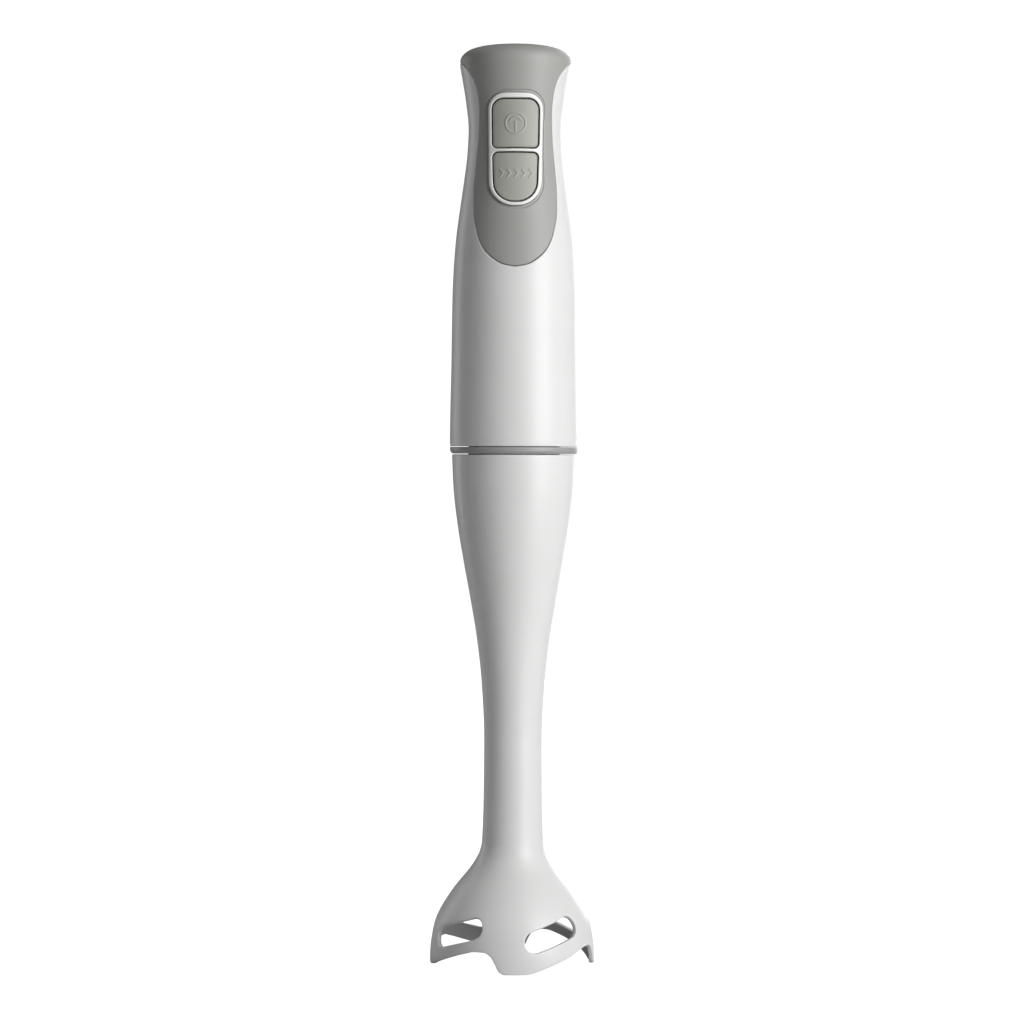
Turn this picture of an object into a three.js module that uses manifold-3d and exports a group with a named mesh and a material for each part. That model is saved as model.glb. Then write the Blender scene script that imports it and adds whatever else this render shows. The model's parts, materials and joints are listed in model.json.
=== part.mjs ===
// Immersion blender: a motor unit with two thumb buttons, and a twist-off leg with a bell and a blade.
// Millimetres. +Z runs up from the bell's feet, and the buttons face -Y.
import * as THREE from "three";
import * as BufferGeometryUtils from "three/addons/utils/BufferGeometryUtils.js";
import Module from "manifold-3d";

const wasm = await Module();
wasm.setup();

// ---------------------------------------------------------------- sizes

// Overall
const HEIGHT = 380; // feet to the top of the head
const UNIT_H = 168.7; // motor unit, with its ring
const BODY_R = 26.7; // motor unit at its widest
const LEG_R = 12; // leg at its slimmest
const LEG_STEP = 0.9; // how far the leg's top stands in from the body's widest
const BELL_R = 34.2; // bell at its rim
const BELL_H = 50; // rim to the foot of the leg

// Walls and clearances
const BODY_SIDES = 30; // facets round the body's skin, shared by all that lie flush in it
const WALL = 2.2; // motor housing
const COVER_T = 2; // grip cover
const LEG_WALL = 2; // leg and bell
const GAP = 0.3; // between pieces that lie against each other
const RUN = 0.05; // radial, between a shaft and what it runs in or is pressed into
const TURN_SIDES = 22; // facets round a turned piece, unless it says otherwise

// Ring, socket and bayonet
const RING_H = 2.8;
const SOCKET_WALL = 3.1;
const SOCKET_DEPTH = 17.6; // room for the collar
const SOCKET_PLATE_T = 2.5;
const RING_LIP_ROOM = 1.7; // between the socket and the housing's bore
const RING_LIP_H = 3.5; // lip that the housing slides over
const COLLAR_WALL = 2.2;
const COLLAR_GAP = 0.4; // radial, collar and lugs in the socket
const COLLAR_DROP = 1.5; // collar's top, under the socket's plate
const COLLAR_FLOOR_T = 3;
const LUG_COUNT = 3;
const LUG_W = 16; // degrees
const LUG_H = 3.4;
const LUG_DEPTH = 1.6;
const LEDGE_H = 3.3; // what a lug hooks over
const TWIST = 25; // degrees from locked to free

// Motor
const CAN_H = 54;
const CAN_WALL = 1.2;
const MOUNT_T = 2.1; // between the can and the housing's bore
const MOUNT_H = 5;
const MAGNET_T = 3.6;
const AIR_GAP = 0.6;
const MOTOR_SHAFT_R = 2.5;
const CORE_H = 30;
const CORE_LIFT = 10; // core's lower face, over the can's floor
const CORE_SLOTS = 8;
const COMMUTATOR_R = 6;
const BRUSH_W = 4;
const BRUSH_DROP = 4.2; // brushes' middle, under the end cap
const CAP_SINK = 1.6; // end cap, down into the can
const BEARING_WALL = 2.4;
const FAN_H = 6;
const FAN_BLADES = 8;
const FAN_INSET = 4; // fan's tips, inside the can's radius

// Drive
const SHAFT_R = 3;
const BUSH_T = 3; // wall of each shaft bush
const BUSH_HALF = 5; // half the upper bush's seat
const MID_BUSH_H = 5;
const MID_BUSH_AT = 0.36; // share of the way up the leg
const HUB_WALL = 4; // blade hub's foot, round the shaft
const DOG_R = 6.2;
const DOG_W = 2.4;
const DOG_H = 8;
const DOG_GAP = 0.35;
const COUPLING_WALL = 1.4;
const COUPLING_DROP = 1.4; // dog's top, under the socket's plate

// Bell
const LOBES = 4;
const ARCH_H = 8.8; // the rim's rise between feet
const SLOT_W = 8.7;
const SLOT_START = 9; // degrees, first slot's near end
const SLOT_SPAN = 47; // degrees
const SLOT_RISE = 5; // near end to far end
const SLOT_Z = 13; // middle of the near end
const SLOT_SHIFT = 12.5; // degrees, how much further round every second slot sits
const BULKHEAD_DROP = 8.5; // bulkhead's lower face, under the foot of the leg
const BULKHEAD_RISE = 5; // and its upper face, over it
const BLADE_GAP = 3.4; // blade's tips to the bell's wall
const BLADE_T = 1.5;
const BLADE_Z = 22.5;
const BLADE_RISE = 2.6; // how far one arm climbs and the other falls
const BLADE_LIP = 0.6; // blade's disc, past the hub's foot

// Buttons
const BUTTON_TRAVEL = 2;
const BUTTON_WALL = 1.8;
const BUTTON_PROUD = 0.5;
const BEZEL_PROUD = 0.9;
const BUTTON_GAP = 0.4;
const STEM_R = 1.6;
const SPRING_WIRE = 0.35;
const SPRING_TURNS = 5;

// Board
const BOARD_T = 1.6;
const BOARD_HALF = 12.5;
const SWITCH_W = 6.4;
const SWITCH_H = 5.5;
const BOSS_R = 2.8;
const SCREW_R = 1.2;
const SCREW_X = 9;
const SCREW_INSET = 4.5; // screws, from the board's ends

// Cord gland
const CORD_R = 3.3;
const GLAND_T = 1.7;
const GLAND_LIP = 1.4; // width and thickness of the gland's lips
const PAD_MARGIN = 0.8; // flat pad, past the gland's lip

// Air vents in the back
const VENT_X = [-10, -5, 0, 5, 10];
const VENT_W = 2.2;
const VENT_H = 11;

// ---------------------------------------------------------------- levels and radii worked out from them

const LEG_TOP_R = BODY_R - LEG_STEP; // leg where it meets the ring
const RING_Z = HEIGHT - UNIT_H;
const BODY_Z = RING_Z + RING_H + GAP;
const LEG_TOP = RING_Z - GAP;
const unit = (share) => RING_Z + share * UNIT_H; // a level in the motor unit
const HEAD_Z = unit(0.9585); // the head's widest, where cover meets housing

// Each point is a share of the motor unit's height, and of its radius.
const BODY_SHAPE = [
  [0.0184, 0.995],
  [0.034, 1],
  [0.228, 0.981],
  [0.376, 0.97],
  [0.449, 0.953],
  [0.523, 0.919],
  [0.597, 0.86],
  [0.671, 0.794],
  [0.735, 0.746],
  [0.794, 0.728],
  [0.868, 0.775],
  [0.917, 0.826],
  [0.9585, 0.864],
];
const DOME_SHAPE = [
  [0.9585, 0.864],
  [0.97, 0.85],
  [0.979, 0.806],
  [0.988, 0.72],
  [0.996, 0.52],
  [1, 0],
];
const BODY_LINE = BODY_SHAPE.map(([h, r]) => [r * BODY_R, unit(h)]);
const DOME_LINE = DOME_SHAPE.map(([h, r]) => [r * BODY_R, unit(h)]);
const bodyR = (z) => radiusAt(BODY_LINE, z);
const boreR = (z) => bodyR(z) - WALL;

// Leg: shares of the way from the bell to the leg's top, and of the way from its slim to its full radius.
const LEG_SHAPE = [
  [0, 0.035],
  [0.25, 0],
  [0.41, 0.08],
  [0.52, 0.22],
  [0.62, 0.413],
  [0.72, 0.63],
  [0.82, 0.826],
  [0.91, 0.945],
  [1, 1],
];
// Bell: shares of its height from the rim, and of the way from the leg's radius to the rim's.
const BELL_SHAPE = [
  [0, 1],
  [0.18, 0.982],
  [0.35, 0.9],
  [0.47, 0.775],
  [0.6, 0.58],
  [0.76, 0.29],
  [0.86, 0.135],
  [1, 0.035],
];
const LEG_LINE = LEG_SHAPE.map(([h, r]) => [
  LEG_R + r * (LEG_TOP_R - LEG_R),
  BELL_H + h * (LEG_TOP - BELL_H),
]);
const BELL_LINE = BELL_SHAPE.map(([h, r]) => [LEG_R + r * (BELL_R - LEG_R), h * BELL_H]);
const legR = (z) => radiusAt(LEG_LINE, z);
const bellR = (z) => radiusAt(BELL_LINE, z);
const facetR = (r) => r * Math.cos(Math.PI / TURN_SIDES); // the middle of a turned piece's facets

// Socket and collar, from the housing's bore inwards
const SOCKET_R = boreR(BODY_Z) - RING_LIP_ROOM;
const SOCKET_BORE = SOCKET_R - SOCKET_WALL;
const SOCKET_PLATE_Z = BODY_Z + SOCKET_DEPTH;
const SOCKET_TOP = SOCKET_PLATE_Z + SOCKET_PLATE_T;
const COLLAR_R = SOCKET_BORE - COLLAR_GAP;
const COLLAR_TOP = SOCKET_PLATE_Z - COLLAR_DROP;
const LUG_Z = BODY_Z + LEDGE_H + GAP;
const LUG_R = COLLAR_R + LUG_DEPTH;
const CHANNEL_R = LUG_R + COLLAR_GAP;

// Drive line: the coupling hangs through the socket's plate, over the leg's dog
const COUPLING_R = DOG_R + DOG_GAP + COUPLING_WALL;
const DOG_Z = SOCKET_PLATE_Z - DOG_H - COUPLING_DROP;
const COUPLING_Z = DOG_Z + 0.8;
const COUPLING_TOP = SOCKET_TOP + 1.5;
const FAN_Z = COUPLING_TOP + 1;
const CAN_Z = FAN_Z + FAN_H + 3;
const CAN_TOP = CAN_Z + CAN_H;
const CAN_R = boreR(CAN_TOP) - MOUNT_T;
const CAN_BORE = CAN_R - CAN_WALL;
const MAGNET_R = facetR(CAN_BORE) - RUN;
const CORE_R = MAGNET_R - MAGNET_T - AIR_GAP;
const CORE_Z = CAN_Z + CORE_LIFT;
const CORE_TOP = CORE_Z + CORE_H;
const CAP_Z = CAN_TOP - CAP_SINK;
const BRUSH_Z = CAP_Z - BRUSH_DROP;
const BEARING_R = MOTOR_SHAFT_R + RUN + BEARING_WALL;
const MOTOR_SHAFT_TOP = CAP_Z + 8;
const FAN_R = CAN_R - FAN_INSET;
const FAN_VENT_Z = FAN_Z + FAN_H / 2;
const HEAD_VENT_Z = MOTOR_SHAFT_TOP - 4;

// Leg inside
const BULKHEAD_Z = BELL_H - BULKHEAD_DROP;
const BULKHEAD_TOP = BELL_H + BULKHEAD_RISE;
const BUSH_R = SHAFT_R + RUN + BUSH_T;
const SEAT_R = BUSH_R + GAP; // bore that a bush sits in
const FLOOR_Z = LEG_TOP - GAP - COLLAR_FLOOR_T;
const UPPER_BUSH_Z = FLOOR_Z - BUSH_HALF;
const UPPER_BUSH_TOP = FLOOR_Z + BUSH_HALF;
const MID_BUSH_TOP = BELL_H + MID_BUSH_AT * (LEG_TOP - BELL_H);
const MID_BUSH_Z = MID_BUSH_TOP - MID_BUSH_H;
const MID_BUSH_R = Math.min(legR(MID_BUSH_Z), legR(MID_BUSH_TOP)) - LEG_WALL - GAP;
const DOG_BASE_Z = DOG_Z - 2.5;
const SHAFT_TOP = DOG_BASE_Z + 6;
const HUB_R = SHAFT_R + HUB_WALL;
const BLADE_HUB_Z = BLADE_Z + BLADE_T / 2 + RUN;
const TIP_R = bellR(BLADE_Z + BLADE_T / 2 + BLADE_RISE) - LEG_WALL - BLADE_GAP;
const SHAFT_END = BLADE_Z - 4.2;

// Buttons and board: levels in the head, and half-widths
const BEZEL = { half: 11.15, lowHalf: 10.8, z0: unit(0.5995), z1: unit(0.872), top: 6.4, low: 10.2 };
const POWER = { half: 9.35, lowHalf: 9.2, z0: unit(0.7415), z1: unit(0.857), top: 4.1, low: 1.9 };
const TURBO = { half: 9, lowHalf: 8.7, z0: unit(0.611), z1: unit(0.728), top: 1.9, low: 8 };
const BUTTONS = { power: POWER, turbo: TURBO };
const middle = (button) => (button.z0 + button.z1) / 2;
const FLANGE_T = 1.2; // a button's flange, behind the bezel
const FLANGE_W = 1.1;
const BEZEL_DEPTH = COVER_T + GAP + 1.3; // from the body's surface to the bezel's back
const waistR = Math.min(...BODY_LINE.map(([r]) => r));
const DEEP = waistR - 2; // nearly down to the axis
const BUTTON_BACK = FLANGE_T + GAP - Math.sqrt((waistR - BEZEL_DEPTH) ** 2 - (POWER.half + FLANGE_W) ** 2);
const BOARD_Y = BUTTON_BACK + BUTTON_TRAVEL + SWITCH_H - 0.4; // the board's front face
const BOARD_BACK = BOARD_Y + BOARD_T;
const BOARD_Z = unit(0.578);
const BOARD_TOP = unit(0.862);
const SWITCH_FACE = BOARD_Y - SWITCH_H;
const PLUNGER_TIP = SWITCH_FACE - BUTTON_TRAVEL - GAP;
const BOARD_SCREWS = [
  [-SCREW_X, BOARD_Z + SCREW_INSET],
  [SCREW_X, BOARD_TOP - SCREW_INSET],
];
const GLAND_Z = unit(0.912);
const GLAND_R = CORD_R + GLAND_T;
const GLAND_BOSS_R = GLAND_R + GLAND_LIP + PAD_MARGIN;
const GLAND_FACE = bodyR(HEAD_Z) + 0.4; // flat pad round the cord's way out
const GLAND_BACK = boreR(GLAND_Z - GLAND_BOSS_R) - 2;

// The cover's edge: half-width as a share of the body's radius, and level as a share of the unit's height
const COVER_EDGE = [
  [0, 0.452],
  [0.19, 0.458],
  [0.37, 0.4755],
  [0.5, 0.4995],
  [0.59, 0.537],
  [0.64, 0.59],
  [0.64, 0.63],
  [0.612, 0.69],
  [0.565, 0.775],
  [0.557, 0.83],
  [0.588, 0.878],
  [0.65, 0.91],
  [0.75, 0.936],
  [0.86, 0.957],
  [1.3, 0.978],
];

// ---------------------------------------------------------------- materials

const finish = (color, roughness, metalness) =>
  new THREE.MeshStandardMaterial({ color, roughness, metalness });
const plastic = (color, roughness = 0.45) => finish(color, roughness, 0);
const metal = (color, roughness = 0.35) => finish(color, roughness, 1);

const MATERIALS = {
  white: plastic(0xecebe7),
  grip: plastic(0x8f8f8c, 0.6),
  bezel: plastic(0xf4f4f1, 0.3),
  button: plastic(0x9a9b94, 0.5),
  ring: plastic(0x949493, 0.4),
  nylon: plastic(0xd9d6cc, 0.5),
  black: plastic(0x26272a, 0.5),
  board: plastic(0x3b6b45, 0.5),
  capacitor: plastic(0xd9a521, 0.4),
  rubber: plastic(0x2b2b2b, 0.85),
  redLead: plastic(0xa8281f, 0.5),
  blueLead: plastic(0x2a4f8f, 0.5),
  ferrite: plastic(0x3b3b3d, 0.7),
  carbon: plastic(0x303133, 0.6),
  steel: metal(0xb9bbbe),
  zinc: metal(0xa7abae, 0.45),
  copper: metal(0xb87048),
  bronze: metal(0xa9824f),
  brass: metal(0xc9a95a),
};

// ---------------------------------------------------------------- shape helpers

// A smooth line through points, as [radius, level] pairs.
function smooth(points, steps) {
  const curve = new THREE.SplineCurve(points.map(([r, z]) => new THREE.Vector2(r, z)));
  return curve.getPoints((points.length - 1) * steps).map((p) => [p.x, p.y]);
}

// The radius of a rising line at a level.
function radiusAt(line, z) {
  const i = line.findIndex((point) => point[1] >= z);
  if (i <= 0) return line.at(i)[0];
  const [r0, z0] = line[i - 1];
  const [r1, z1] = line[i];
  return r0 + ((r1 - r0) * (z - z0)) / (z1 - z0);
}

// The stretch of a rising line between two levels, with a point on each.
function stretch(line, z0, z1) {
  const inside = line.filter(([, z]) => z > z0 + 0.2 && z < z1 - 0.2);
  return [[radiusAt(line, z0), z0], ...inside, [radiusAt(line, z1), z1]];
}

// A line moved sideways by d: inwards, for a rising line or for a loop that runs anticlockwise.
function offset(line, d, closed = false) {
  const n = line.length;
  const at = (i) => (closed ? line[(i + n) % n] : line[Math.min(Math.max(i, 0), n - 1)]);
  return line.map(([x, y], i) => {
    const [x0, y0] = at(i - 1);
    const [x1, y1] = at(i + 1);
    const length = Math.hypot(x1 - x0, y1 - y0);
    return [x - ((y1 - y0) / length) * d, y + ((x1 - x0) / length) * d];
  });
}

const vectors = (points) => points.map(([x, y]) => new THREE.Vector2(x, y));

// A closed geometry as a solid for cuts and joins.
function solid(geometry) {
  const bare = geometry.index ? geometry.toNonIndexed() : geometry.clone();
  bare.deleteAttribute("normal");
  bare.deleteAttribute("uv");
  const merged = BufferGeometryUtils.mergeVertices(bare, 1e-4);
  return new wasm.Manifold(
    new wasm.Mesh({
      numProp: 3,
      vertProperties: merged.attributes.position.array,
      triVerts: new Uint32Array(merged.index.array),
    }),
  );
}

// A solid as a geometry for a mesh.
function geometryOf(shape) {
  const { numProp, vertProperties, triVerts } = shape.getMesh();
  const positions = new Float32Array((vertProperties.length / numProp) * 3);
  for (let i = 0; i < positions.length / 3; i += 1)
    for (let k = 0; k < 3; k += 1) positions[i * 3 + k] = vertProperties[i * numProp + k];
  const indexed = new THREE.BufferGeometry();
  indexed.setAttribute("position", new THREE.BufferAttribute(positions, 3));
  indexed.setIndex(new THREE.BufferAttribute(new Uint32Array(triVerts), 1));
  return BufferGeometryUtils.toCreasedNormals(indexed, 0.6);
}

const join = (...shapes) => wasm.Manifold.union(shapes.flat());
const cut = (shape, ...tools) => shape.subtract(join(...tools));
const common = (a, b) => a.intersect(b);

// A profile of [radius, level] pairs turned round the Z axis. Its ends lie on the axis, or it closes itself.
function turned(profile, segments = TURN_SIDES) {
  const points = vectors(profile);
  if (THREE.ShapeUtils.area(points) < 0) points.reverse();
  const onAxis = points[0].x === 0 && points.at(-1).x === 0;
  if (!onAxis) points.push(points[0].clone());
  return solid(new THREE.LatheGeometry(points, segments).rotateX(Math.PI / 2));
}

// A round tube, or a disc when its bore is 0.
function tube(radius, bore, z0, z1, segments = 20) {
  const ring = [
    [bore, z0],
    [radius, z0],
    [radius, z1],
    [bore, z1],
  ];
  return turned(ring, segments);
}

// A box from its low corner to its high corner.
function block([x0, y0, z0], [x1, y1, z1]) {
  const box = new THREE.BoxGeometry(x1 - x0, y1 - y0, z1 - z0);
  return solid(box.translate((x0 + x1) / 2, (y0 + y1) / 2, (z0 + z1) / 2));
}

// An outline in X and Z, run along Y from y0 to y1.
function across(outline, y0, y1) {
  const shape = new THREE.Shape(vectors(outline));
  const run = new THREE.ExtrudeGeometry(shape, { depth: y1 - y0, bevelEnabled: false });
  return solid(run.rotateX(Math.PI / 2).translate(0, y1, 0));
}

// An outline in X and Y, run up from z0 to z1.
function upright(outline, z0, z1) {
  const shape = new THREE.Shape(vectors(outline));
  const run = new THREE.ExtrudeGeometry(shape, { depth: z1 - z0, bevelEnabled: false });
  return solid(run.translate(0, 0, z0));
}

// A rod along Y, centred on x and z.
function rodY(radius, x, z, y0, y1, segments = 20) {
  const rod = new THREE.CylinderGeometry(radius, radius, y1 - y0, segments);
  return solid(rod.translate(x, (y0 + y1) / 2, z));
}

// A point at an angle round the Z axis, counted from the front towards +X.
function around(radius, degrees) {
  const a = THREE.MathUtils.degToRad(degrees);
  return [radius * Math.sin(a), -radius * Math.cos(a)];
}

// A slice of a tube between two angles.
function sector(radius, bore, z0, z1, from, to) {
  const steps = Math.max(2, Math.ceil((to - from) / 8));
  const angles = Array.from({ length: steps + 1 }, (_, i) => from + ((to - from) * i) / steps);
  const outer = angles.map((a) => around(radius, a));
  const inner = angles.map((a) => around(bore, a)).reverse();
  return upright([...outer, ...inner], z0, z1);
}

// An outline of [degrees, level] pairs wrapped round the Z axis, from radius r0 out to r1.
function wrapped(outline, r0, r1) {
  const shape = new THREE.Shape(vectors(outline));
  const run = new THREE.ExtrudeGeometry(shape, { depth: r1 - r0, bevelEnabled: false });
  const place = run.attributes.position;
  for (let i = 0; i < place.count; i += 1) {
    const [x, y] = around(r0 + place.getZ(i), place.getX(i));
    place.setXYZ(i, x, y, place.getY(i));
  }
  return solid(run);
}

// Copies of a shape spaced evenly round the Z axis.
function ringOf(count, shape) {
  return Array.from({ length: count }, (_, i) => shape.rotate([0, 0, (360 / count) * i]));
}

// A round wire or lead along a curve.
function wire(points, radius, sides, steps) {
  const path = new THREE.CatmullRomCurve3(points.map((p) => new THREE.Vector3(...p)));
  const section = new THREE.Shape(
    Array.from({ length: sides }, (_, i) => {
      const a = (2 * Math.PI * i) / sides;
      return new THREE.Vector2(radius * Math.cos(a), radius * Math.sin(a));
    }),
  );
  return new THREE.ExtrudeGeometry(section, { steps, extrudePath: path, bevelEnabled: false });
}

// A coil spring along Y, from y0 to y1.
function coilY(x, z, y0, y1, radius, wireR, turns) {
  const perTurn = 9;
  const points = Array.from({ length: turns * perTurn + 1 }, (_, i) => {
    const a = (2 * Math.PI * i) / perTurn;
    const y = y0 + wireR + ((y1 - y0 - 2 * wireR) * i) / (turns * perTurn);
    return [x + radius * Math.cos(a), y, z + radius * Math.sin(a)];
  });
  return wire(points, wireR, 4, turns * perTurn);
}

// A panel's outline: round corners above and below, and sides that draw in a little.
function panel({ half, lowHalf, z0, z1, top, low }, grow = 0) {
  const steps = 4;
  const corner = (x, z, radius, from) =>
    Array.from({ length: steps + 1 }, (_, i) => {
      const a = from + (Math.PI / 2) * (i / steps);
      return [x + (radius + grow) * Math.cos(a), z + (radius + grow) * Math.sin(a)];
    });
  return [
    ...corner(half - top, z1 - top, top, 0),
    ...corner(top - half, z1 - top, top, Math.PI / 2),
    ...corner(low - lowHalf, z0 + low, low, Math.PI),
    ...corner(lowHalf - low, z0 + low, low, 1.5 * Math.PI),
  ];
}

// The body's skin in the button zone, between two depths under its surface.
function skin(outside, inside) {
  const line = stretch(BODY_LINE, BEZEL.z0 - 8, BEZEL.z1 + 6);
  return turned([...offset(line, outside), ...offset(line, inside).reverse()], BODY_SIDES);
}

const BACK = BODY_R + 6; // clear of the body, behind and in front
const FRONT = -BACK;

// ---------------------------------------------------------------- the object

const blender = new THREE.Group();

function add(name, shape, material) {
  const geometry = shape.isBufferGeometry ? shape : geometryOf(shape);
  const mesh = new THREE.Mesh(geometry, MATERIALS[material]);
  mesh.name = name;
  blender.add(mesh);
}

// What belongs to the cover: the dome, and the long oval down the front.
function coverRegion(grow) {
  const side = COVER_EDGE.map(([x, h]) => [x * BODY_R, unit(h)]);
  const loop = [...side, ...side.slice(1).reverse().map(([x, z]) => [-x, z])];
  const oval = across(offset(loop, -grow, true), FRONT, grow);
  const dome = tube(BACK, 0, HEAD_Z - grow, HEIGHT + 6);
  return join(oval, dome);
}

// The motor unit's shell, with a rib over the socket, posts for the board and a pad for the cord gland.
function housing() {
  const outer = stretch(BODY_LINE, BODY_Z, HEAD_Z);
  const inner = offset(outer, WALL).reverse();
  const lip = SOCKET_TOP + GAP;
  const rib = [
    [boreR(lip + 2.2), lip + 2.2],
    [SOCKET_R + 0.2, lip + 1.6],
    [SOCKET_R + 0.2, lip],
    [boreR(lip), lip],
  ];
  const above = inner.filter(([, z]) => z > lip + 2.4);
  const below = inner.filter(([, z]) => z < lip - 0.2);
  const shell = turned([...outer, ...above, ...rib, ...below], BODY_SIDES);
  const bosses = BOARD_SCREWS.map(([x, z]) => {
    const post = rodY(BOSS_R, x, z, BOARD_BACK + GAP, BODY_R);
    return common(post, turned([[0, BODY_Z], ...outer, [0, HEAD_Z]], BODY_SIDES));
  });
  const screwHoles = BOARD_SCREWS.map(([x, z]) => rodY(SCREW_R + RUN, x, z, 0, BOARD_BACK + 6.5, 12));
  const vents = [FAN_VENT_Z, HEAD_VENT_Z].flatMap((level) => VENT_X.map((x) => ventSlot(x, level)));
  const pad = rodY(GLAND_BOSS_R, 0, GLAND_Z, GLAND_BACK, GLAND_FACE, 24);
  const cordHole = rodY(GLAND_R + 2 * RUN, 0, GLAND_Z, 5, BACK, 20);
  return cut(join(shell, bosses, pad), coverRegion(GAP / 2), screwHoles, vents, cordHole);
}

// A long vent in the back, with round ends.
function ventSlot(x, level) {
  const half = VENT_W / 2;
  const slot = { half, lowHalf: half, z0: level - VENT_H / 2, z1: level + VENT_H / 2, top: half, low: half };
  return across(panel(slot).map(([u, z]) => [u + x, z]), VENT_W, BACK);
}

// The soft cover: a cap over the head that runs on down the front, open for the bezel.
function gripCover() {
  const outer = [...stretch(BODY_LINE, unit(0.43), HEAD_Z), ...DOME_LINE.slice(1)];
  const inner = offset(outer, COVER_T);
  inner[inner.length - 1] = [0, HEIGHT - COVER_T];
  outer[outer.length - 1][0] = 0;
  const shell = turned([...inner.slice().reverse(), ...outer], BODY_SIDES);
  const hole = across(panel(BEZEL, GAP), FRONT, 0);
  return cut(common(shell, coverRegion(-GAP / 2)), hole);
}

// The buttons' frame, with a flange that holds it behind the cover.
function bezel() {
  const flange = common(
    across(panel(BEZEL, 1.6), FRONT, -2),
    skin(COVER_T + GAP, BEZEL_DEPTH),
  );
  const frame = common(across(panel(BEZEL), FRONT, -2), skin(-BEZEL_PROUD, BEZEL_DEPTH));
  const holes = Object.values(BUTTONS).map((button) => across(panel(button, BUTTON_GAP), FRONT, 0));
  return cut(join(flange, frame), holes);
}

// A hollow key with a flange behind the bezel, and a stem that ends at the switch's plunger.
function button(shape) {
  const z = middle(shape);
  const key = common(across(panel(shape), FRONT, BUTTON_BACK), skin(-BUTTON_PROUD, DEEP));
  const hollow = common(across(panel(shape, -BUTTON_WALL), FRONT, 0), skin(BUTTON_WALL, DEEP));
  const rim = across(panel(shape, FLANGE_W), BUTTON_BACK - FLANGE_T, BUTTON_BACK);
  const stem = rodY(STEM_R, 0, z, 1 - bodyR(z), PLUNGER_TIP - GAP);
  return join(cut(join(key, rim), hollow), stem);
}

function spring(shape) {
  const z = middle(shape);
  const seat = SWITCH_FACE - GAP;
  const top = -(bodyR(z) - BUTTON_WALL) + GAP + 0.3;
  return coilY(0, z, top, seat, STEM_R + SPRING_WIRE + 0.35, SPRING_WIRE, SPRING_TURNS);
}

function microswitch(shape) {
  const z = middle(shape);
  const half = SWITCH_W / 2;
  const body = block([-half, SWITCH_FACE, z - half], [half, BOARD_Y - RUN, z + half]);
  return cut(body, rodY(1.1, 0, z, SWITCH_FACE - 1, SWITCH_FACE + BUTTON_TRAVEL + 2.1, 14));
}

function plunger(shape) {
  return rodY(1, 0, middle(shape), PLUNGER_TIP, SWITCH_FACE + 1.6, 14);
}

function board() {
  const plate = block([-BOARD_HALF, BOARD_Y, BOARD_Z], [BOARD_HALF, BOARD_BACK, BOARD_TOP]);
  const hole = ([x, z]) => rodY(SCREW_R + 0.2, x, z, BOARD_Y - 1, BOARD_BACK + 1, 14);
  return cut(plate, BOARD_SCREWS.map(hole));
}

function boardScrew([x, z]) {
  const head = rodY(2.2, x, z, BOARD_Y - 1.5, BOARD_Y - 0.1, 16);
  return join(head, rodY(SCREW_R, x, z, BOARD_Y - 0.5, BOARD_BACK + 6, 12));
}

// Parts that hang behind the board, at levels between its screws.
function boardParts() {
  const y = BOARD_BACK + 0.2;
  const capZ = middle(POWER) - 14;
  add("interference_capacitor", block([-8.5, y, capZ], [8.5, y + 7, capZ + 12]), "capacitor");
  add("bridge_rectifier", block([-4.5, y, capZ + 14], [4.5, y + 4, capZ + 23]), "black");
  const choke = new THREE.TorusGeometry(3.9, 1.8, 7, 14).rotateX(Math.PI / 2);
  add("suppression_choke", solid(choke.translate(0, y + 2, capZ - 8)), "copper");
}

// A rubber bush for the cord, with a lip on each side of the housing's pad.
function cordGland() {
  const lipR = GLAND_R + GLAND_LIP;
  const profile = [
    [CORD_R, GLAND_BACK - GAP - GLAND_LIP],
    [lipR, GLAND_BACK - GAP - GLAND_LIP],
    [lipR, GLAND_BACK - GAP],
    [GLAND_R, GLAND_BACK - GAP],
    [GLAND_R, GLAND_FACE + GAP],
    [lipR, GLAND_FACE + GAP],
    [lipR, GLAND_FACE + GAP + GLAND_LIP],
    [CORD_R, GLAND_FACE + GAP + GLAND_LIP],
  ];
  return turned(profile, 20).rotate([-90, 0, 0]).translate([0, 0, GLAND_Z]);
}

// The ring under the housing, with a lip that stands between housing and socket.
function trimRing() {
  const inner = LUG_R + 0.6;
  const lipR = boreR(BODY_Z) - GAP;
  const lipTop = BODY_Z + RING_LIP_H;
  return turned(
    [
      [inner, RING_Z],
      [bodyR(BODY_Z) - 0.75, RING_Z],
      [bodyR(BODY_Z) - 0.1, RING_Z + 0.8],
      [bodyR(BODY_Z) - 0.1, RING_Z + RING_H],
      [lipR, RING_Z + RING_H],
      [lipR, lipTop],
      [SOCKET_R + GAP, lipTop],
      [SOCKET_R + GAP, RING_Z + RING_H],
      [inner, RING_Z + RING_H],
    ],
    32,
  );
}

// The socket: a plate over a short tube, bayonet channels in its bore, and posts that carry the motor.
function legSocket() {
  const hole = COUPLING_R + 0.7;
  const cup = turned([
    [SOCKET_BORE, BODY_Z],
    [SOCKET_R, BODY_Z],
    [SOCKET_R, SOCKET_PLATE_Z],
    [SOCKET_R + 1.1, SOCKET_PLATE_Z],
    [SOCKET_R + 1.1, SOCKET_TOP],
    [hole, SOCKET_TOP],
    [hole, SOCKET_PLATE_Z],
    [SOCKET_BORE, SOCKET_PLATE_Z],
  ]);
  const half = LUG_W / 2 + 1;
  const roof = LUG_Z + LUG_H + GAP;
  const channel = sector(CHANNEL_R, SOCKET_BORE - 2, LUG_Z - GAP, roof, -half, half + TWIST);
  const entry = sector(CHANNEL_R, SOCKET_BORE - 2, BODY_Z - 1, roof, TWIST - half, TWIST + half);
  const post = sector(CAN_R, FAN_R + 1, SOCKET_TOP - 0.5, CAN_Z - GAP, 50, 70);
  return cut(join(cup, ringOf(3, post)), ringOf(LUG_COUNT, join(channel, entry)));
}

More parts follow.
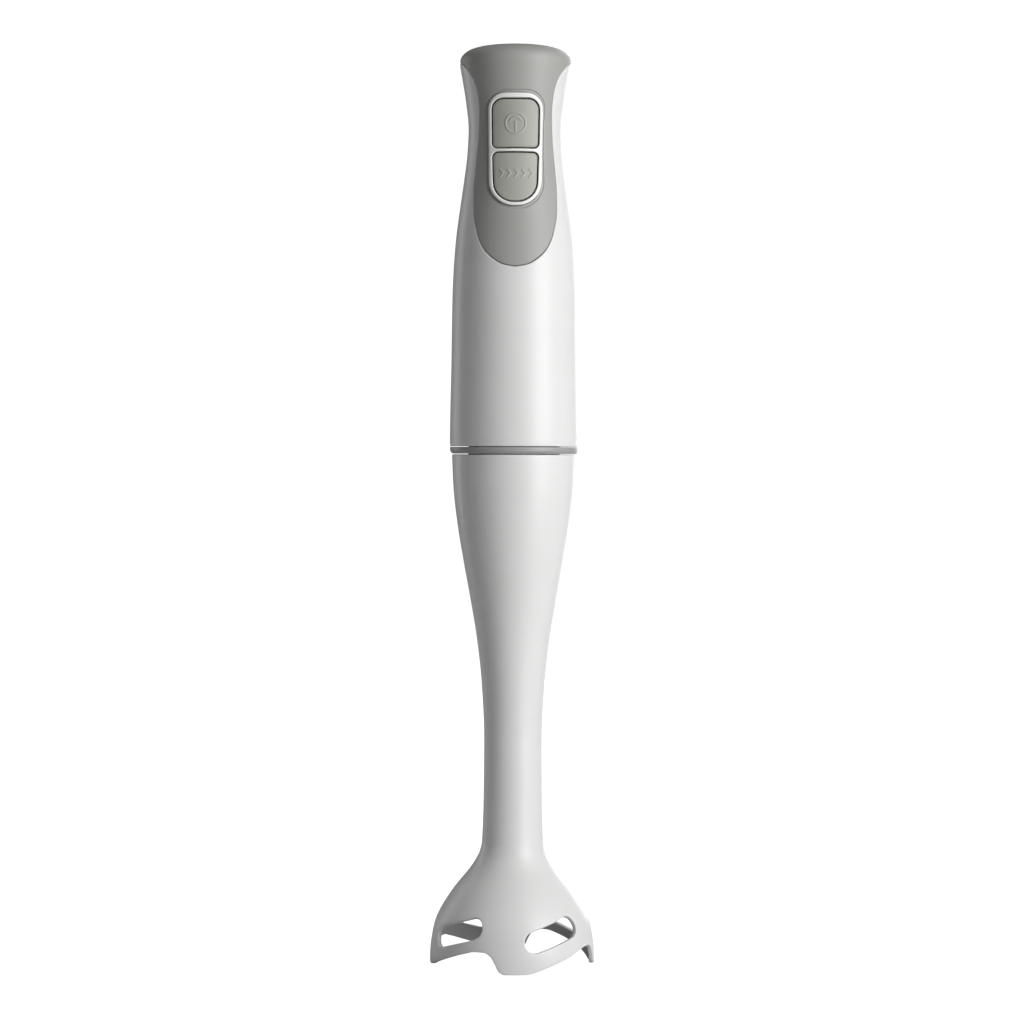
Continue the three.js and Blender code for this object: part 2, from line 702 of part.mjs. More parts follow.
// The leg's top: a floor over the upper bush's seat, and a collar with lugs that turns in the socket.
function legCollar() {
  const seat = SEAT_R;
  const seatR = seat + 2.4;
  const floorR = legR(FLOOR_Z) - LEG_WALL - GAP;
  const cup = turned([
    [seat, UPPER_BUSH_Z],
    [seatR, UPPER_BUSH_Z],
    [seatR, FLOOR_Z],
    [floorR, FLOOR_Z],
    [floorR, LEG_TOP - GAP],
    [COLLAR_R, LEG_TOP - GAP],
    [COLLAR_R, COLLAR_TOP - 5.2],
    [COLLAR_R - 1.1, COLLAR_TOP - 5],
    [COLLAR_R - 1.1, COLLAR_TOP - 3],
    [COLLAR_R, COLLAR_TOP - 2.8],
    [COLLAR_R, COLLAR_TOP - 0.6],
    [COLLAR_R - 0.6, COLLAR_TOP],
    [COLLAR_R - COLLAR_WALL, COLLAR_TOP],
    [COLLAR_R - COLLAR_WALL, LEG_TOP - GAP],
    [seatR, LEG_TOP - GAP],
    [seatR, UPPER_BUSH_TOP],
    [seat, UPPER_BUSH_TOP],
  ]);
  const lug = sector(LUG_R, COLLAR_R - 0.8, LUG_Z, LUG_Z + LUG_H, -LUG_W / 2, LUG_W / 2);
  return join(cup, ringOf(LUG_COUNT, lug));
}

// The rim's edge over one lobe, as [degrees, level]: a long ramp up, then a quick drop onto the next foot.
function archOutline() {
  const pitch = 360 / LOBES;
  const ramp = [
    [10, -1],
    [10, 0.02],
    [19, 0.15 * ARCH_H],
    [37, 0.52 * ARCH_H],
    [54, 0.87 * ARCH_H],
  ];
  const drop = smooth(
    [
      [54, 0.87 * ARCH_H],
      [62, 0.99 * ARCH_H],
      [68, 0.97 * ARCH_H],
      [72, 0.78 * ARCH_H],
      [76, 0.42 * ARCH_H],
      [79.5, 0.12 * ARCH_H],
      [84, 0.02],
    ],
    2,
  );
  return [...ramp, ...drop.slice(1), [84, -1], [60, -1], [35, -1]].map(([a, z]) => [(a * pitch) / 90, z]);
}

// A slanted slot with round ends, as [degrees, level].
function slotOutline() {
  const radius = SLOT_W / 2;
  const perDegree = THREE.MathUtils.degToRad(BELL_R - 1.5);
  const length = SLOT_SPAN * perDegree - SLOT_W;
  const slope = Math.atan2(SLOT_RISE, length);
  const steps = 8;
  const end = (u, from) =>
    Array.from({ length: steps + 1 }, (_, i) => {
      const a = from + (Math.PI * i) / steps;
      return [u + radius * Math.cos(a), radius * Math.sin(a)];
    });
  const side = (v, from, to) => [1, 2, 3].map((k) => [from + ((to - from) * k) / 4, v]);
  const flat = [
    ...end(length, -Math.PI / 2),
    ...side(radius, length, 0),
    ...end(0, Math.PI / 2),
    ...side(-radius, 0, length),
  ];
  return flat.map(([u, v]) => {
    const s = u * Math.cos(slope) - v * Math.sin(slope) + radius;
    const z = u * Math.sin(slope) + v * Math.cos(slope) + SLOT_Z;
    return [SLOT_START + s / perDegree, z];
  });
}

// The leg's skin, from the bell's lobed rim to the ring, with a bulkhead between bell and leg.
function legHousing() {
  const outer = [...BELL_LINE, ...LEG_LINE.slice(1)];
  const inside = offset(outer, LEG_WALL);
  const legBore = inside.filter(([, z]) => z > BULKHEAD_TOP + 1).reverse();
  const bellBore = inside.filter(([, z]) => z < BULKHEAD_Z - 0.6 && z > 0.5).reverse();
  const shell = turned(
    [
      ...outer,
      [legR(LEG_TOP) - LEG_WALL, LEG_TOP],
      ...legBore.slice(1),
      [legBore.at(-1)[0], BULKHEAD_TOP],
      [SEAT_R, BULKHEAD_TOP],
      [SEAT_R, BULKHEAD_Z],
      [bellBore[0][0] - 1, BULKHEAD_Z],
      ...bellBore,
      [BELL_R - LEG_WALL, 0],
    ],
    36,
  );
  const arch = wrapped(archOutline(), BELL_R - 12, BELL_R + 8);
  const slot = wrapped(slotOutline(), BELL_R - 14, BELL_R + 8);
  const slots = ringOf(LOBES, slot).map((shape, i) => shape.rotate([0, 0, (i % 2) * SLOT_SHIFT]));
  return cut(shell, ringOf(LOBES, arch), slots);
}

function legParts() {
  const bush = (z0, z1) => tube(BUSH_R, SHAFT_R + RUN, z0, z1);
  add("upper_bush", bush(UPPER_BUSH_Z - 0.5, UPPER_BUSH_TOP + 0.5), "bronze");
  add("middle_bush", tube(MID_BUSH_R, SHAFT_R + RUN, MID_BUSH_Z, MID_BUSH_TOP), "nylon");
  add("lower_bush", bush(BULKHEAD_Z + 4.6, BULKHEAD_TOP), "bronze");
  const lip = SHAFT_R + RUN;
  const seal = [
    [lip, BULKHEAD_Z + 0.6],
    [BUSH_R, BULKHEAD_Z + 0.6],
    [BUSH_R, BULKHEAD_Z + 4.3],
    [lip + 1, BULKHEAD_Z + 4.3],
    [lip + 1, BULKHEAD_Z + 1.6],
    [lip, BULKHEAD_Z + 1.2],
  ];
  add("shaft_seal", turned(seal), "rubber");
  add("seal_retainer", tube(SEAT_R + 3.5, SHAFT_R + 0.8, BULKHEAD_Z - 1.5, BULKHEAD_Z - GAP), "steel");
  const oring = new THREE.TorusGeometry(COLLAR_R - 0.5, 0.55, 6, 22);
  add("collar_seal", solid(oring.rotateZ(-Math.PI / 2).translate(0, 0, COLLAR_TOP - 4)), "rubber");
}

// The cross that drives the leg, grown by a clearance for the coupling that fits over it.
function cross(grow, z0, z1) {
  const arm = DOG_W / 2 + grow;
  const reach = DOG_R + grow;
  const bar = block([-reach, -arm, z0], [reach, arm, z1]);
  return join(bar, bar.rotate([0, 0, 90]), tube(SHAFT_R + 1.2 + grow, 0, z0, z1));
}

// A flat disc with two arms, one that rises and one that falls.
function bladeShape() {
  const low = BLADE_Z - BLADE_T / 2;
  const outline = [
    [HUB_R, -3.4],
    [TIP_R - 1.2, -4.4],
    [TIP_R, -1],
    [TIP_R - 3.7, 2.4],
    [HUB_R, 3.4],
  ];
  const arm = (turn, rise) => {
    const plate = upright(outline, low, low + BLADE_T);
    const pitch = rise / (TIP_R - HUB_R);
    return plate.warp((p) => (p[2] += (p[0] - HUB_R) * pitch)).rotate([0, 0, turn]);
  };
  const disc = tube(HUB_R + BLADE_LIP, 0, low, low + BLADE_T);
  const bore = tube(SHAFT_R + RUN, 0, low - 1, low + BLADE_T + 1);
  return cut(join(disc, arm(0, BLADE_RISE), arm(180, -BLADE_RISE)), bore);
}

function driveLine() {
  add("drive_shaft", tube(SHAFT_R, 0, SHAFT_END, SHAFT_TOP), "steel");
  const dog = join(cross(0, DOG_Z - 0.5, DOG_Z + DOG_H), tube(DOG_R + 0.8, 0, DOG_BASE_Z, DOG_Z));
  const socket = tube(SHAFT_R + RUN, 0, DOG_BASE_Z - 1, SHAFT_TOP + RUN);
  add("leg_coupling", cut(dog, socket), "black");
  const clipZ = UPPER_BUSH_Z - 2.2;
  add("shaft_circlip", tube(SHAFT_R + 1.6, SHAFT_R + RUN, clipZ, clipZ + 1, 24), "steel");
  const hub = [
    [SHAFT_R + RUN, BLADE_HUB_Z],
    [HUB_R, BLADE_HUB_Z],
    [HUB_R - 1, BULKHEAD_Z - 4],
    [SHAFT_R + RUN, BULKHEAD_Z - 4],
  ];
  add("blade_hub", turned(hub, 32), "steel");
  add("blade", bladeShape(), "steel");
  const nut = tube(SHAFT_R + 2.6, 0, SHAFT_END, BLADE_Z - BLADE_T / 2 - RUN, 6);
  add("blade_nut", cut(nut, tube(SHAFT_R + RUN, 0, SHAFT_END - 1, BLADE_Z)), "steel");
}

function motorStator() {
  const can = turned([
    [BEARING_R + RUN, CAN_Z],
    [CAN_R, CAN_Z],
    [CAN_R, CAN_TOP],
    [CAN_BORE, CAN_TOP],
    [CAN_BORE, CAN_Z + CAN_WALL],
    [BEARING_R + RUN, CAN_Z + CAN_WALL],
  ]);
  add("motor_can", can, "zinc");
  [0, 1].forEach((i) => {
    const arc = sector(MAGNET_R, MAGNET_R - MAGNET_T, CORE_Z - 3, CORE_TOP + 2, 30 + 180 * i, 150 + 180 * i);
    add("magnet_" + (i + 1), arc, "ferrite");
  });
  const hole = BEARING_R + RUN;
  const cap = turned([
    [hole, CAP_Z],
    [CAN_BORE - GAP, CAP_Z],
    [CAN_BORE - GAP, CAN_TOP + RUN],
    [CAN_R, CAN_TOP + RUN],
    [CAN_R, CAN_TOP + 1.6],
    [hole + 2.4, CAN_TOP + 1.6],
    [hole + 2, CAP_Z + 6.4],
    [hole, CAP_Z + 6.4],
  ]);
  add("motor_end_cap", cap, "black");
  add("lower_bearing", tube(BEARING_R, MOTOR_SHAFT_R + RUN, CAN_Z - 1.2, CAN_Z + 3.6, 24), "bronze");
  add("upper_bearing", tube(BEARING_R, MOTOR_SHAFT_R + RUN, CAP_Z + 0.4, CAP_Z + 6, 24), "bronze");
  const mount = (z) => {
    const outside = Math.min(boreR(z), boreR(z + MOUNT_H)) - GAP - 0.2;
    return tube(outside, CAN_R + GAP, z, z + MOUNT_H, TURN_SIDES);
  };
  add("lower_motor_mount", mount(CAN_Z + 4), "rubber");
  add("upper_motor_mount", mount(CAN_TOP - MOUNT_H), "rubber");
}

function brushGear() {
  const half = BRUSH_W / 2;
  const reach = CAN_BORE - 3;
  const tip = COMMUTATOR_R + RUN;
  const end = tip + 6;
  [0, 1].forEach((i) => {
    const side = (shape) => shape.rotate([0, 0, 180 * i]);
    const bar = (x0, x1, w) => block([x0, -w, BRUSH_Z - w], [x1, w, BRUSH_Z + w]);
    const holder = cut(bar(tip + 0.9, reach, half + 0.9), bar(tip, reach - 0.8, half + 0.1));
    add("brush_holder_" + (i + 1), side(holder), "brass");
    add("carbon_brush_" + (i + 1), side(bar(tip, end, half)), "carbon");
    const coil = coilY(0, 0, end + 0.1, reach - 0.9, 1.3, 0.25, 3).rotateZ(-Math.PI / 2);
    add("brush_spring_" + (i + 1), side(solid(coil.translate(0, 0, BRUSH_Z))), "steel");
  });
}

function motorRotor() {
  const shaftZ = COUPLING_TOP - 4;
  add("motor_shaft", tube(MOTOR_SHAFT_R, 0, shaftZ, MOTOR_SHAFT_TOP, 24), "steel");
  const slotDepth = CORE_R * 0.5;
  const slot = block([CORE_R - slotDepth, -1.3, CORE_Z - 1], [CORE_R + 1, 1.3, CORE_TOP + 1]);
  const core = tube(CORE_R, MOTOR_SHAFT_R + RUN, CORE_Z, CORE_TOP);
  add("armature_core", cut(core, ringOf(CORE_SLOTS, slot)), "zinc");
  const bar = block([CORE_R - slotDepth + 0.2, -1.1, CORE_Z - 2], [CORE_R - 0.8, 1.1, CORE_TOP + 2]);
  const head = (z0, z1) => tube(CORE_R - 1.6, MOTOR_SHAFT_R + 1.4, z0, z1);
  const ends = [head(CORE_Z - 5, CORE_Z - 0.2), head(CORE_TOP + 0.2, CORE_TOP + 4)];
  add("armature_winding", join(ends, ringOf(CORE_SLOTS, bar)), "copper");
  const commutator = tube(COMMUTATOR_R, MOTOR_SHAFT_R + RUN, CORE_TOP + 4.2, CAP_Z - 0.4, 32);
  const slit = block([COMMUTATOR_R - 1.2, -0.2, CORE_TOP + 5.4], [COMMUTATOR_R + 1, 0.2, CAP_Z + 1]);
  add("commutator", cut(commutator, ringOf(CORE_SLOTS, slit)), "copper");
  const disc = tube(FAN_R, MOTOR_SHAFT_R + RUN, FAN_Z, FAN_Z + 1.2);
  const hub = tube(MOTOR_SHAFT_R + 2.5, MOTOR_SHAFT_R + RUN, FAN_Z, FAN_Z + FAN_H);
  const blade = block([MOTOR_SHAFT_R + 1.8, -0.6, FAN_Z + 0.6], [FAN_R - 0.2, 0.6, FAN_Z + FAN_H]);
  add("cooling_fan", join(disc, hub, ringOf(FAN_BLADES, blade)), "black");
  const body = tube(COUPLING_R, 0, COUPLING_Z, COUPLING_TOP);
  const hollow = cross(DOG_GAP, COUPLING_Z - 1, DOG_Z + DOG_H + 0.5);
  const bore = tube(MOTOR_SHAFT_R + RUN, 0, shaftZ - RUN, COUPLING_TOP + 1, 24);
  add("motor_coupling", cut(body, hollow, bore), "nylon");
}

function motorLeads() {
  const top = [BOARD_BACK - 0.2, BOARD_Z - 1.2];
  const y = 4;
  [
    ["motor_lead_live", 1, "redLead"],
    ["motor_lead_neutral", -1, "blueLead"],
  ].forEach(([name, sign, material]) => {
    const route = [
      [sign * 5, top[0], top[1]],
      [sign * 7, top[0] + 1, top[1] - 2],
      [sign * 10, y, CAN_TOP + 4.5],
      [sign * 13, y + 2, CAN_TOP + 2.9],
    ];
    add(name, solid(wire(route, 0.9, 7, 9)), material);
  });
}

add("motor_housing", housing(), "white");
add("grip_cover", gripCover(), "grip");
add("button_bezel", bezel(), "bezel");
Object.entries(BUTTONS).forEach(([name, shape]) => {
  add(name + "_button", button(shape), "button");
  add(name + "_plunger", plunger(shape), "nylon");
  add(name + "_spring", spring(shape), "steel");
  add(name + "_switch", microswitch(shape), "black");
});
add("switch_board", board(), "board");
BOARD_SCREWS.forEach((place, i) => add("board_screw_" + (i + 1), boardScrew(place), "steel"));
boardParts();
add("cord_gland", cordGland(), "rubber");
add("trim_ring", trimRing(), "ring");
add("leg_socket", legSocket(), "black");
motorStator();
brushGear();
motorRotor();
motorLeads();
add("leg_housing", legHousing(), "white");
add("leg_collar", legCollar(), "nylon");
legParts();
driveLine();

export default blender;
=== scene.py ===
"""An immersion blender: its skin, buttons, leg and cutter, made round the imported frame."""

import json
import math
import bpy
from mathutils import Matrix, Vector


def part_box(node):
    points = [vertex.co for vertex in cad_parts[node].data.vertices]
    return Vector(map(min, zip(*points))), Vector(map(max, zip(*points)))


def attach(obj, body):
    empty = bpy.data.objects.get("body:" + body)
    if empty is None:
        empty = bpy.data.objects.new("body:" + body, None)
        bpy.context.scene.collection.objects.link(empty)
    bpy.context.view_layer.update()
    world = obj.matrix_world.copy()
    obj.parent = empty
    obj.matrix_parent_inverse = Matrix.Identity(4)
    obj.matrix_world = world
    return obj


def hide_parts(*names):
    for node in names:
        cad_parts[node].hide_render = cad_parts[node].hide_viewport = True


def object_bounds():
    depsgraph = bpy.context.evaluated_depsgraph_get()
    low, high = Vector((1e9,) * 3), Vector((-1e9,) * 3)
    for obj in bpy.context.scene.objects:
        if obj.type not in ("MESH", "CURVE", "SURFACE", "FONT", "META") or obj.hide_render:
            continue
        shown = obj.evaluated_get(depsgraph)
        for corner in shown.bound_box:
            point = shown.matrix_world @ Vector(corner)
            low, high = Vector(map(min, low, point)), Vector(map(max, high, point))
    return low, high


bl_info = {
    "name": "Immersion Blender",
    "version": (1, 0, 0),
    "blender": (4, 5, 0),
    "location": "View3D > Sidebar > Blender",
    "description": "Makes the visible pieces of an immersion blender",
    "category": "Object",
}

import bmesh
import bpy
import numpy as np
from bpy.props import FloatProperty, FloatVectorProperty, PointerProperty
from mathutils import Matrix, Vector

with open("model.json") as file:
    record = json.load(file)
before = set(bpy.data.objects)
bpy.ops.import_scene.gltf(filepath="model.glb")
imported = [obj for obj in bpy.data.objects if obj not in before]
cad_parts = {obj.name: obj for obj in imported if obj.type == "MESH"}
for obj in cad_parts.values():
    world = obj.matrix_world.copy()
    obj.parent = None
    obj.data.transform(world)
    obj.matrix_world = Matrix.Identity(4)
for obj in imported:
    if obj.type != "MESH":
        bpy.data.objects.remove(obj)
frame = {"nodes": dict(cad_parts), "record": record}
CAD_LOW, CAD_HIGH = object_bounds()

MM = 0.001
RING_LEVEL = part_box("trim_ring")[0].z
LEG_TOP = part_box("leg_housing")[1].z
BODY_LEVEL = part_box("motor_housing")[0].z
UNIT_HEIGHT = CAD_HIGH.z - RING_LEVEL
GLAND_LOW, GLAND_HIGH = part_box("cord_gland")
BLADE_LEVEL = (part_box("blade")[0].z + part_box("blade")[1].z) / 2
FAN_LEVEL = (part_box("cooling_fan")[0].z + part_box("cooling_fan")[1].z) / 2
SHAFT_TOP_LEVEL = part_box("motor_shaft")[1].z

# The motor unit's outline: share of its height, share of its widest radius.
BODY_SHAPE = [
    (0.0184, 0.995),
    (0.034, 1.0),
    (0.228, 0.981),
    (0.376, 0.97),
    (0.449, 0.953),
    (0.523, 0.919),
    (0.597, 0.86),
    (0.671, 0.794),
    (0.735, 0.746),
    (0.794, 0.728),
    (0.868, 0.775),
    (0.917, 0.826),
    (0.9585, 0.864),
    (0.97, 0.85),
    (0.979, 0.806),
    (0.988, 0.72),
    (0.995, 0.56),
    (0.999, 0.3),
    (1.0, 0.0),
]
HEAD_SHARE = 0.9585
# The leg above the bell: share of its height, share of the way from its slim to its top radius.
LEG_SHAPE = [
    (0.12, 0.01),
    (0.26, 0.0),
    (0.41, 0.08),
    (0.52, 0.22),
    (0.62, 0.413),
    (0.72, 0.63),
    (0.82, 0.826),
    (0.91, 0.95),
    (0.965, 0.985),
    (1.0, 1.0),
]
# The bell: share of its height, share of the way from the leg's radius to its rim.
BELL_SHAPE = [
    (0.0, 1.0),
    (0.1, 0.995),
    (0.26, 0.95),
    (0.35, 0.9),
    (0.43, 0.82),
    (0.51, 0.715),
    (0.6, 0.58),
    (0.68, 0.44),
    (0.76, 0.29),
    (0.84, 0.165),
    (0.92, 0.075),
    (1.0, 0.035),
]
# Half the grip cover's width and its level, as shares of the body's radius and height.
COVER_SHAPE = [
    (0.0, 0.452),
    (0.19, 0.458),
    (0.37, 0.4755),
    (0.5, 0.4995),
    (0.59, 0.537),
    (0.64, 0.59),
    (0.64, 0.63),
    (0.612, 0.69),
    (0.565, 0.775),
    (0.557, 0.83),
    (0.588, 0.878),
    (0.65, 0.91),
    (0.75, 0.936),
    (0.85, 0.955),
]
# The rim's rise between two feet: degrees round, share of the arch's height.
ARCH_SHAPE = [
    (10, 0.0),
    (14, 0.05),
    (19, 0.15),
    (37, 0.52),
    (54, 0.87),
    (63, 1.0),
    (69.5, 1.0),
    (74.5, 0.84),
    (78, 0.49),
    (80.5, 0.16),
    (84, 0.0),
]
# Panels in the grip: half widths above and below, levels as shares, corner radii above and below.
# Widths and radii are in millimetres.
BEZEL = (11.15, 10.8, 0.5995, 0.872, 6.4, 10.2)
POWER = (9.35, 9.2, 0.7415, 0.857, 4.1, 1.9)
TURBO = (9.0, 8.7, 0.611, 0.728, 1.9, 8.0)
CHEVRONS = (-6.3, -3.3, -0.3, 2.7, 5.7)
SIGN_RISE = 0.22 * MM

# Two rows of vents in the back of the housing.
VENT_LEVELS = (FAN_LEVEL, SHAFT_TOP_LEVEL - 4 * MM)
VENT_PLACES = (-10, -5, 0, 5, 10)
VENT_HALF_WIDTH = 1.1 * MM
VENT_HALF_LENGTH = 4.4 * MM  # without its round ends

# The pad round the cord gland, and the gland itself.
GLAND_HALF = (GLAND_HIGH.z - GLAND_LOW.z) / 2
GLAND_MIDDLE = (GLAND_HIGH.z + GLAND_LOW.z) / 2
PAD_RADIUS = GLAND_HALF + 0.8 * MM
PAD_FACE = GLAND_HIGH.y - 1.7 * MM
PAD_LIP = 0.6 * MM
CORD_RADIUS = 3.3 * MM
SLEEVE_RADIUS = 5.0 * MM
FLANGE_WIDTH = 1.4 * MM

# Slanted slots in the bell: where each starts, how far round it runs, how far it rises,
# and the level that it starts at.
SLOT_STARTS = (9, 111.5 - 360, 189 - 360, 291.5 - 360)
SLOT_SPAN = 47
SLOT_CLIMB = 5 * MM
SLOT_LEVEL = 13 * MM
ARCH_STARTS = (0, -90, -180, -270)

NUDGE = 1e-6  # a step for slopes, in metres
SAME = 1e-7  # points nearer than this are in one place


class BlenderSizes(bpy.types.PropertyGroup):
    """The sizes of the skin, as the frame has them."""

    body_radius: FloatProperty(
        name="Body radius", description="Motor unit at its widest", default=26.7 * MM, unit="LENGTH"
    )
    leg_radius: FloatProperty(
        name="Leg radius", description="Leg at its slimmest", default=12.0 * MM, unit="LENGTH"
    )
    leg_top_radius: FloatProperty(
        name="Leg top radius",
        description="Leg where it meets the ring",
        default=25.8 * MM,
        unit="LENGTH",
    )
    bell_radius: FloatProperty(
        name="Bell radius", description="Bell at its rim", default=CAD_HIGH.x, unit="LENGTH"
    )
    bell_height: FloatProperty(
        name="Bell height", description="Rim to the foot of the leg", default=50.0 * MM, unit="LENGTH"
    )
    body_wall: FloatProperty(
        name="Body wall", description="Motor housing's thickness", default=2.2 * MM, unit="LENGTH"
    )
    leg_wall: FloatProperty(
        name="Leg wall", description="Thickness of leg, bell and cover", default=2.0 * MM, unit="LENGTH"
    )
    gap: FloatProperty(
        name="Gap", description="Between pieces that meet in the skin", default=0.3 * MM, unit="LENGTH"
    )
    arch_height: FloatProperty(
        name="Arch height", description="Rim's rise between two feet", default=8.8 * MM, unit="LENGTH"
    )
    slot_width: FloatProperty(
        name="Slot width", description="Across each slanted slot", default=8.7 * MM, unit="LENGTH"
    )
    bezel_proud: FloatProperty(
        name="Bezel proud", description="Bezel above the body's skin", default=0.9 * MM, unit="LENGTH"
    )
    button_proud: FloatProperty(
        name="Button proud", description="Buttons above the body's skin", default=0.5 * MM, unit="LENGTH"
    )


class BlenderFinish(bpy.types.PropertyGroup):
    """The colours that show."""

    white: FloatVectorProperty(
        name="White", description="Housing and leg", default=(0.80, 0.80, 0.795), subtype="COLOR"
    )
    grip: FloatVectorProperty(
        name="Grip grey", description="Grip cover", default=(0.385, 0.385, 0.37), subtype="COLOR"
    )
    button: FloatVectorProperty(
        name="Button grey", description="Both buttons", default=(0.42, 0.425, 0.385), subtype="COLOR"
    )
    bezel: FloatVectorProperty(
        name="Bezel white",
        description="Frame round the buttons",
        default=(0.9, 0.9, 0.89),
        subtype="COLOR",
    )
    ring: FloatVectorProperty(
        name="Ring grey", description="Ring above the leg", default=(0.37, 0.37, 0.37), subtype="COLOR"
    )


class BlenderStudio(bpy.types.PropertyGroup):
    """Camera and light."""

    distance: FloatProperty(
        name="Camera distance", description="From the blender's axis", default=1.218, unit="LENGTH"
    )
    height: FloatProperty(
        name="Camera height", description="Above the worktop", default=0.2124, unit="LENGTH"
    )
    tilt: FloatProperty(name="Tilt", description="Degrees that the camera looks down", default=1.187)
    roll: FloatProperty(name="Roll", description="Degrees that the camera leans", default=0.24)
    lens: FloatProperty(name="Lens", description="Focal length in millimetres", default=103.1)
    key: FloatProperty(name="Key light", description="Watts of the soft light", default=10.7)
    rim: FloatProperty(name="Rim light", description="Watts of the light behind", default=2.2)
    ambient: FloatProperty(name="Ambient", description="Brightness of the room", default=0.3)
    backdrop: FloatProperty(name="Backdrop", description="Brightness of the sweep in view", default=0.94)
    back: FloatProperty(name="Back light", description="Watts of the soft light behind", default=9.0)


def sizes():
    """The blender's sizes as set in the scene."""
    return bpy.context.scene.blender_sizes


def smooth_line(points):
    """A smooth function through (place, value) points that never overshoots them."""
    places = np.array([p[0] for p in points], float)
    values = np.array([p[1] for p in points], float)
    steps = np.diff(places)
    slopes = np.diff(values) / steps
    tangents = np.empty(len(places))
    tangents[0], tangents[-1] = slopes[0], slopes[-1]
    before, after = slopes[:-1], slopes[1:]
    total = before + after
    steady = np.where(np.abs(total) > 1e-12, total, 1.0)
    tangents[1:-1] = np.where(before * after > 0, 2 * before * after / steady, 0.0)

    def at(where):
        where = np.asarray(where, float)
        i = np.clip(np.searchsorted(places, where) - 1, 0, len(steps) - 1)
        u = np.clip((where - places[i]) / steps[i], 0.0, 1.0)
        rise = values[i + 1] - values[i]
        start, end = tangents[i] * steps[i], tangents[i + 1] * steps[i]
        square, cube = 3 * rise - 2 * start - end, start + end - 2 * rise
        return values[i] + u * (start + u * (square + u * cube))

    return at


class Skin:
    """A turned surface in its own coordinates: x round it, y up along its line, z how deep."""

    def __init__(self, line, radius):
        """Takes (radius, level) points from the bottom up, and the radius that x is counted at."""
        corners = np.array(line, float)
        steps = np.hypot(*np.diff(corners, axis=0).T)
        along = np.concatenate([[0.0], np.cumsum(steps)])
        self.reach = float(along[-1])
        self.radius = radius
        self.radius_at = smooth_line(list(zip(along, corners[:, 0])))
        self.level_at = smooth_line(list(zip(along, corners[:, 1])))
        self.table = np.linspace(0, self.reach, 4000)
        self.levels = self.level_at(self.table)

    def along(self, level):
        """How far up the line a level is."""
        return np.interp(level, self.levels, self.table)

    def wide(self, level):
        """The surface's radius at a level."""
        return self.radius_at(self.along(level))

    def place(self, flat):
        """Turns flat points (x, y, depth) into points in the room."""
        small = 1e-5
        y = flat[:, 1]
        radius, level = self.radius_at(y), self.level_at(y)
        low, high = np.maximum(y - small, 0), np.minimum(y + small, self.reach)
        out = self.level_at(high) - self.level_at(low)
        up = self.radius_at(low) - self.radius_at(high)
        length = np.hypot(out, up)
        turn = flat[:, 0] / self.radius
        radius = radius - flat[:, 2] * out / length
        level = level - flat[:, 2] * up / length
        beyond = y - np.clip(y, 0, self.reach)
        level = level + beyond * out / length
        radius = radius - beyond * up / length
        return np.column_stack([radius * np.sin(turn), -radius * np.cos(turn), level])


class Front:
    """The body's surface seen from the front: x across, y its level, z how deep."""

    def __init__(self, skin, proud):
        self.skin = skin
        self.proud = proud

    def place(self, flat):
        """Turns flat points (x, level, depth) into points in the room."""
        radius = self.skin.wide(flat[:, 1]) + self.proud
        front = -np.sqrt(np.maximum(radius**2 - flat[:, 0] ** 2, 0))
        return np.column_stack([flat[:, 0], front + flat[:, 2], flat[:, 1]])


def from_outline(points, outline):
    """Distance from each point to a closed outline, below zero inside it."""
    nearest = np.full(len(points), np.inf)
    inside = np.zeros(len(points), bool)
    px, py = points[:, 0], points[:, 1]
    for (ax, ay), (bx, by) in zip(outline, np.roll(outline, -1, axis=0)):
        dx, dy = bx - ax, by - ay
        share = np.clip(((px - ax) * dx + (py - ay) * dy) / (dx * dx + dy * dy + 1e-20), 0, 1)
        nearest = np.minimum(nearest, np.hypot(px - ax - share * dx, py - ay - share * dy))
        crosses = (ay > py) != (by > py)
        if crosses.any():
            at = ax + (py - ay) * dx / (dy if abs(dy) > 1e-15 else 1e-15)
            inside ^= crosses & (px < at)
    return np.where(inside, -nearest, nearest)


class Border:
    """An edge that a sheet is cut back to, with the lip that it is given."""

    def __init__(self, distance, lip, rings):
        self.distance = distance
        self.lip = lip
        self.rings = rings


def around_holes(outlines):
    """Distance of points to the nearest of some holes, above zero outside them."""
    boxes = [(o.min(0) - 4 * MM, o.max(0) + 4 * MM, o) for o in map(np.array, outlines)]

    def distance(points):
        best = np.full(len(points), 1.0)
        for low, high, outline in boxes:
            near = ((points > low) & (points < high)).all(1)
            if near.any():
                best[near] = np.minimum(best[near], from_outline(points[near], outline))
        return best

    return distance


def rounded(radius, wall):
    """Rings for an edge that is rounded outside and in."""
    turns = [math.radians(a) for a in (22.5, 45, 67.5, 90)]
    outer = [(radius * math.sin(a), radius * (1 - math.cos(a))) for a in turns]
    inner = [(x, wall - depth) for x, depth in reversed(outer)]
    return [*outer, *inner, (0.0, wall)]


def flat_sheet(columns, rows):
    """A flat grid with its columns and rows at these places."""
    bm = bmesh.new()
    bmesh.ops.create_grid(bm, x_segments=len(columns) - 1, y_segments=len(rows) - 1, size=0.5)
    if len(bm.verts) != len(columns) * len(rows):
        raise RuntimeError("The grid has another number of points than was asked for")
    for vert in bm.verts:
        i = round((vert.co.x + 0.5) * (len(columns) - 1))
        j = round((vert.co.y + 0.5) * (len(rows) - 1))
        vert.co = (columns[i], rows[j], 0.0)
    return bm


def cut_edges(bm, closed):
    """The sheet's open edges, apart from those that close on themselves."""
    rims = [e for e in bm.edges if len(e.link_faces) == 1]
    return [e for e in rims if not all(closed(v.co) for v in e.verts)]


def seam(start, turn):
    """A test for points on the two sides where a sheet closes on itself."""
    return lambda co: min(abs(co.x - start), abs(co.x - start - turn)) < SAME


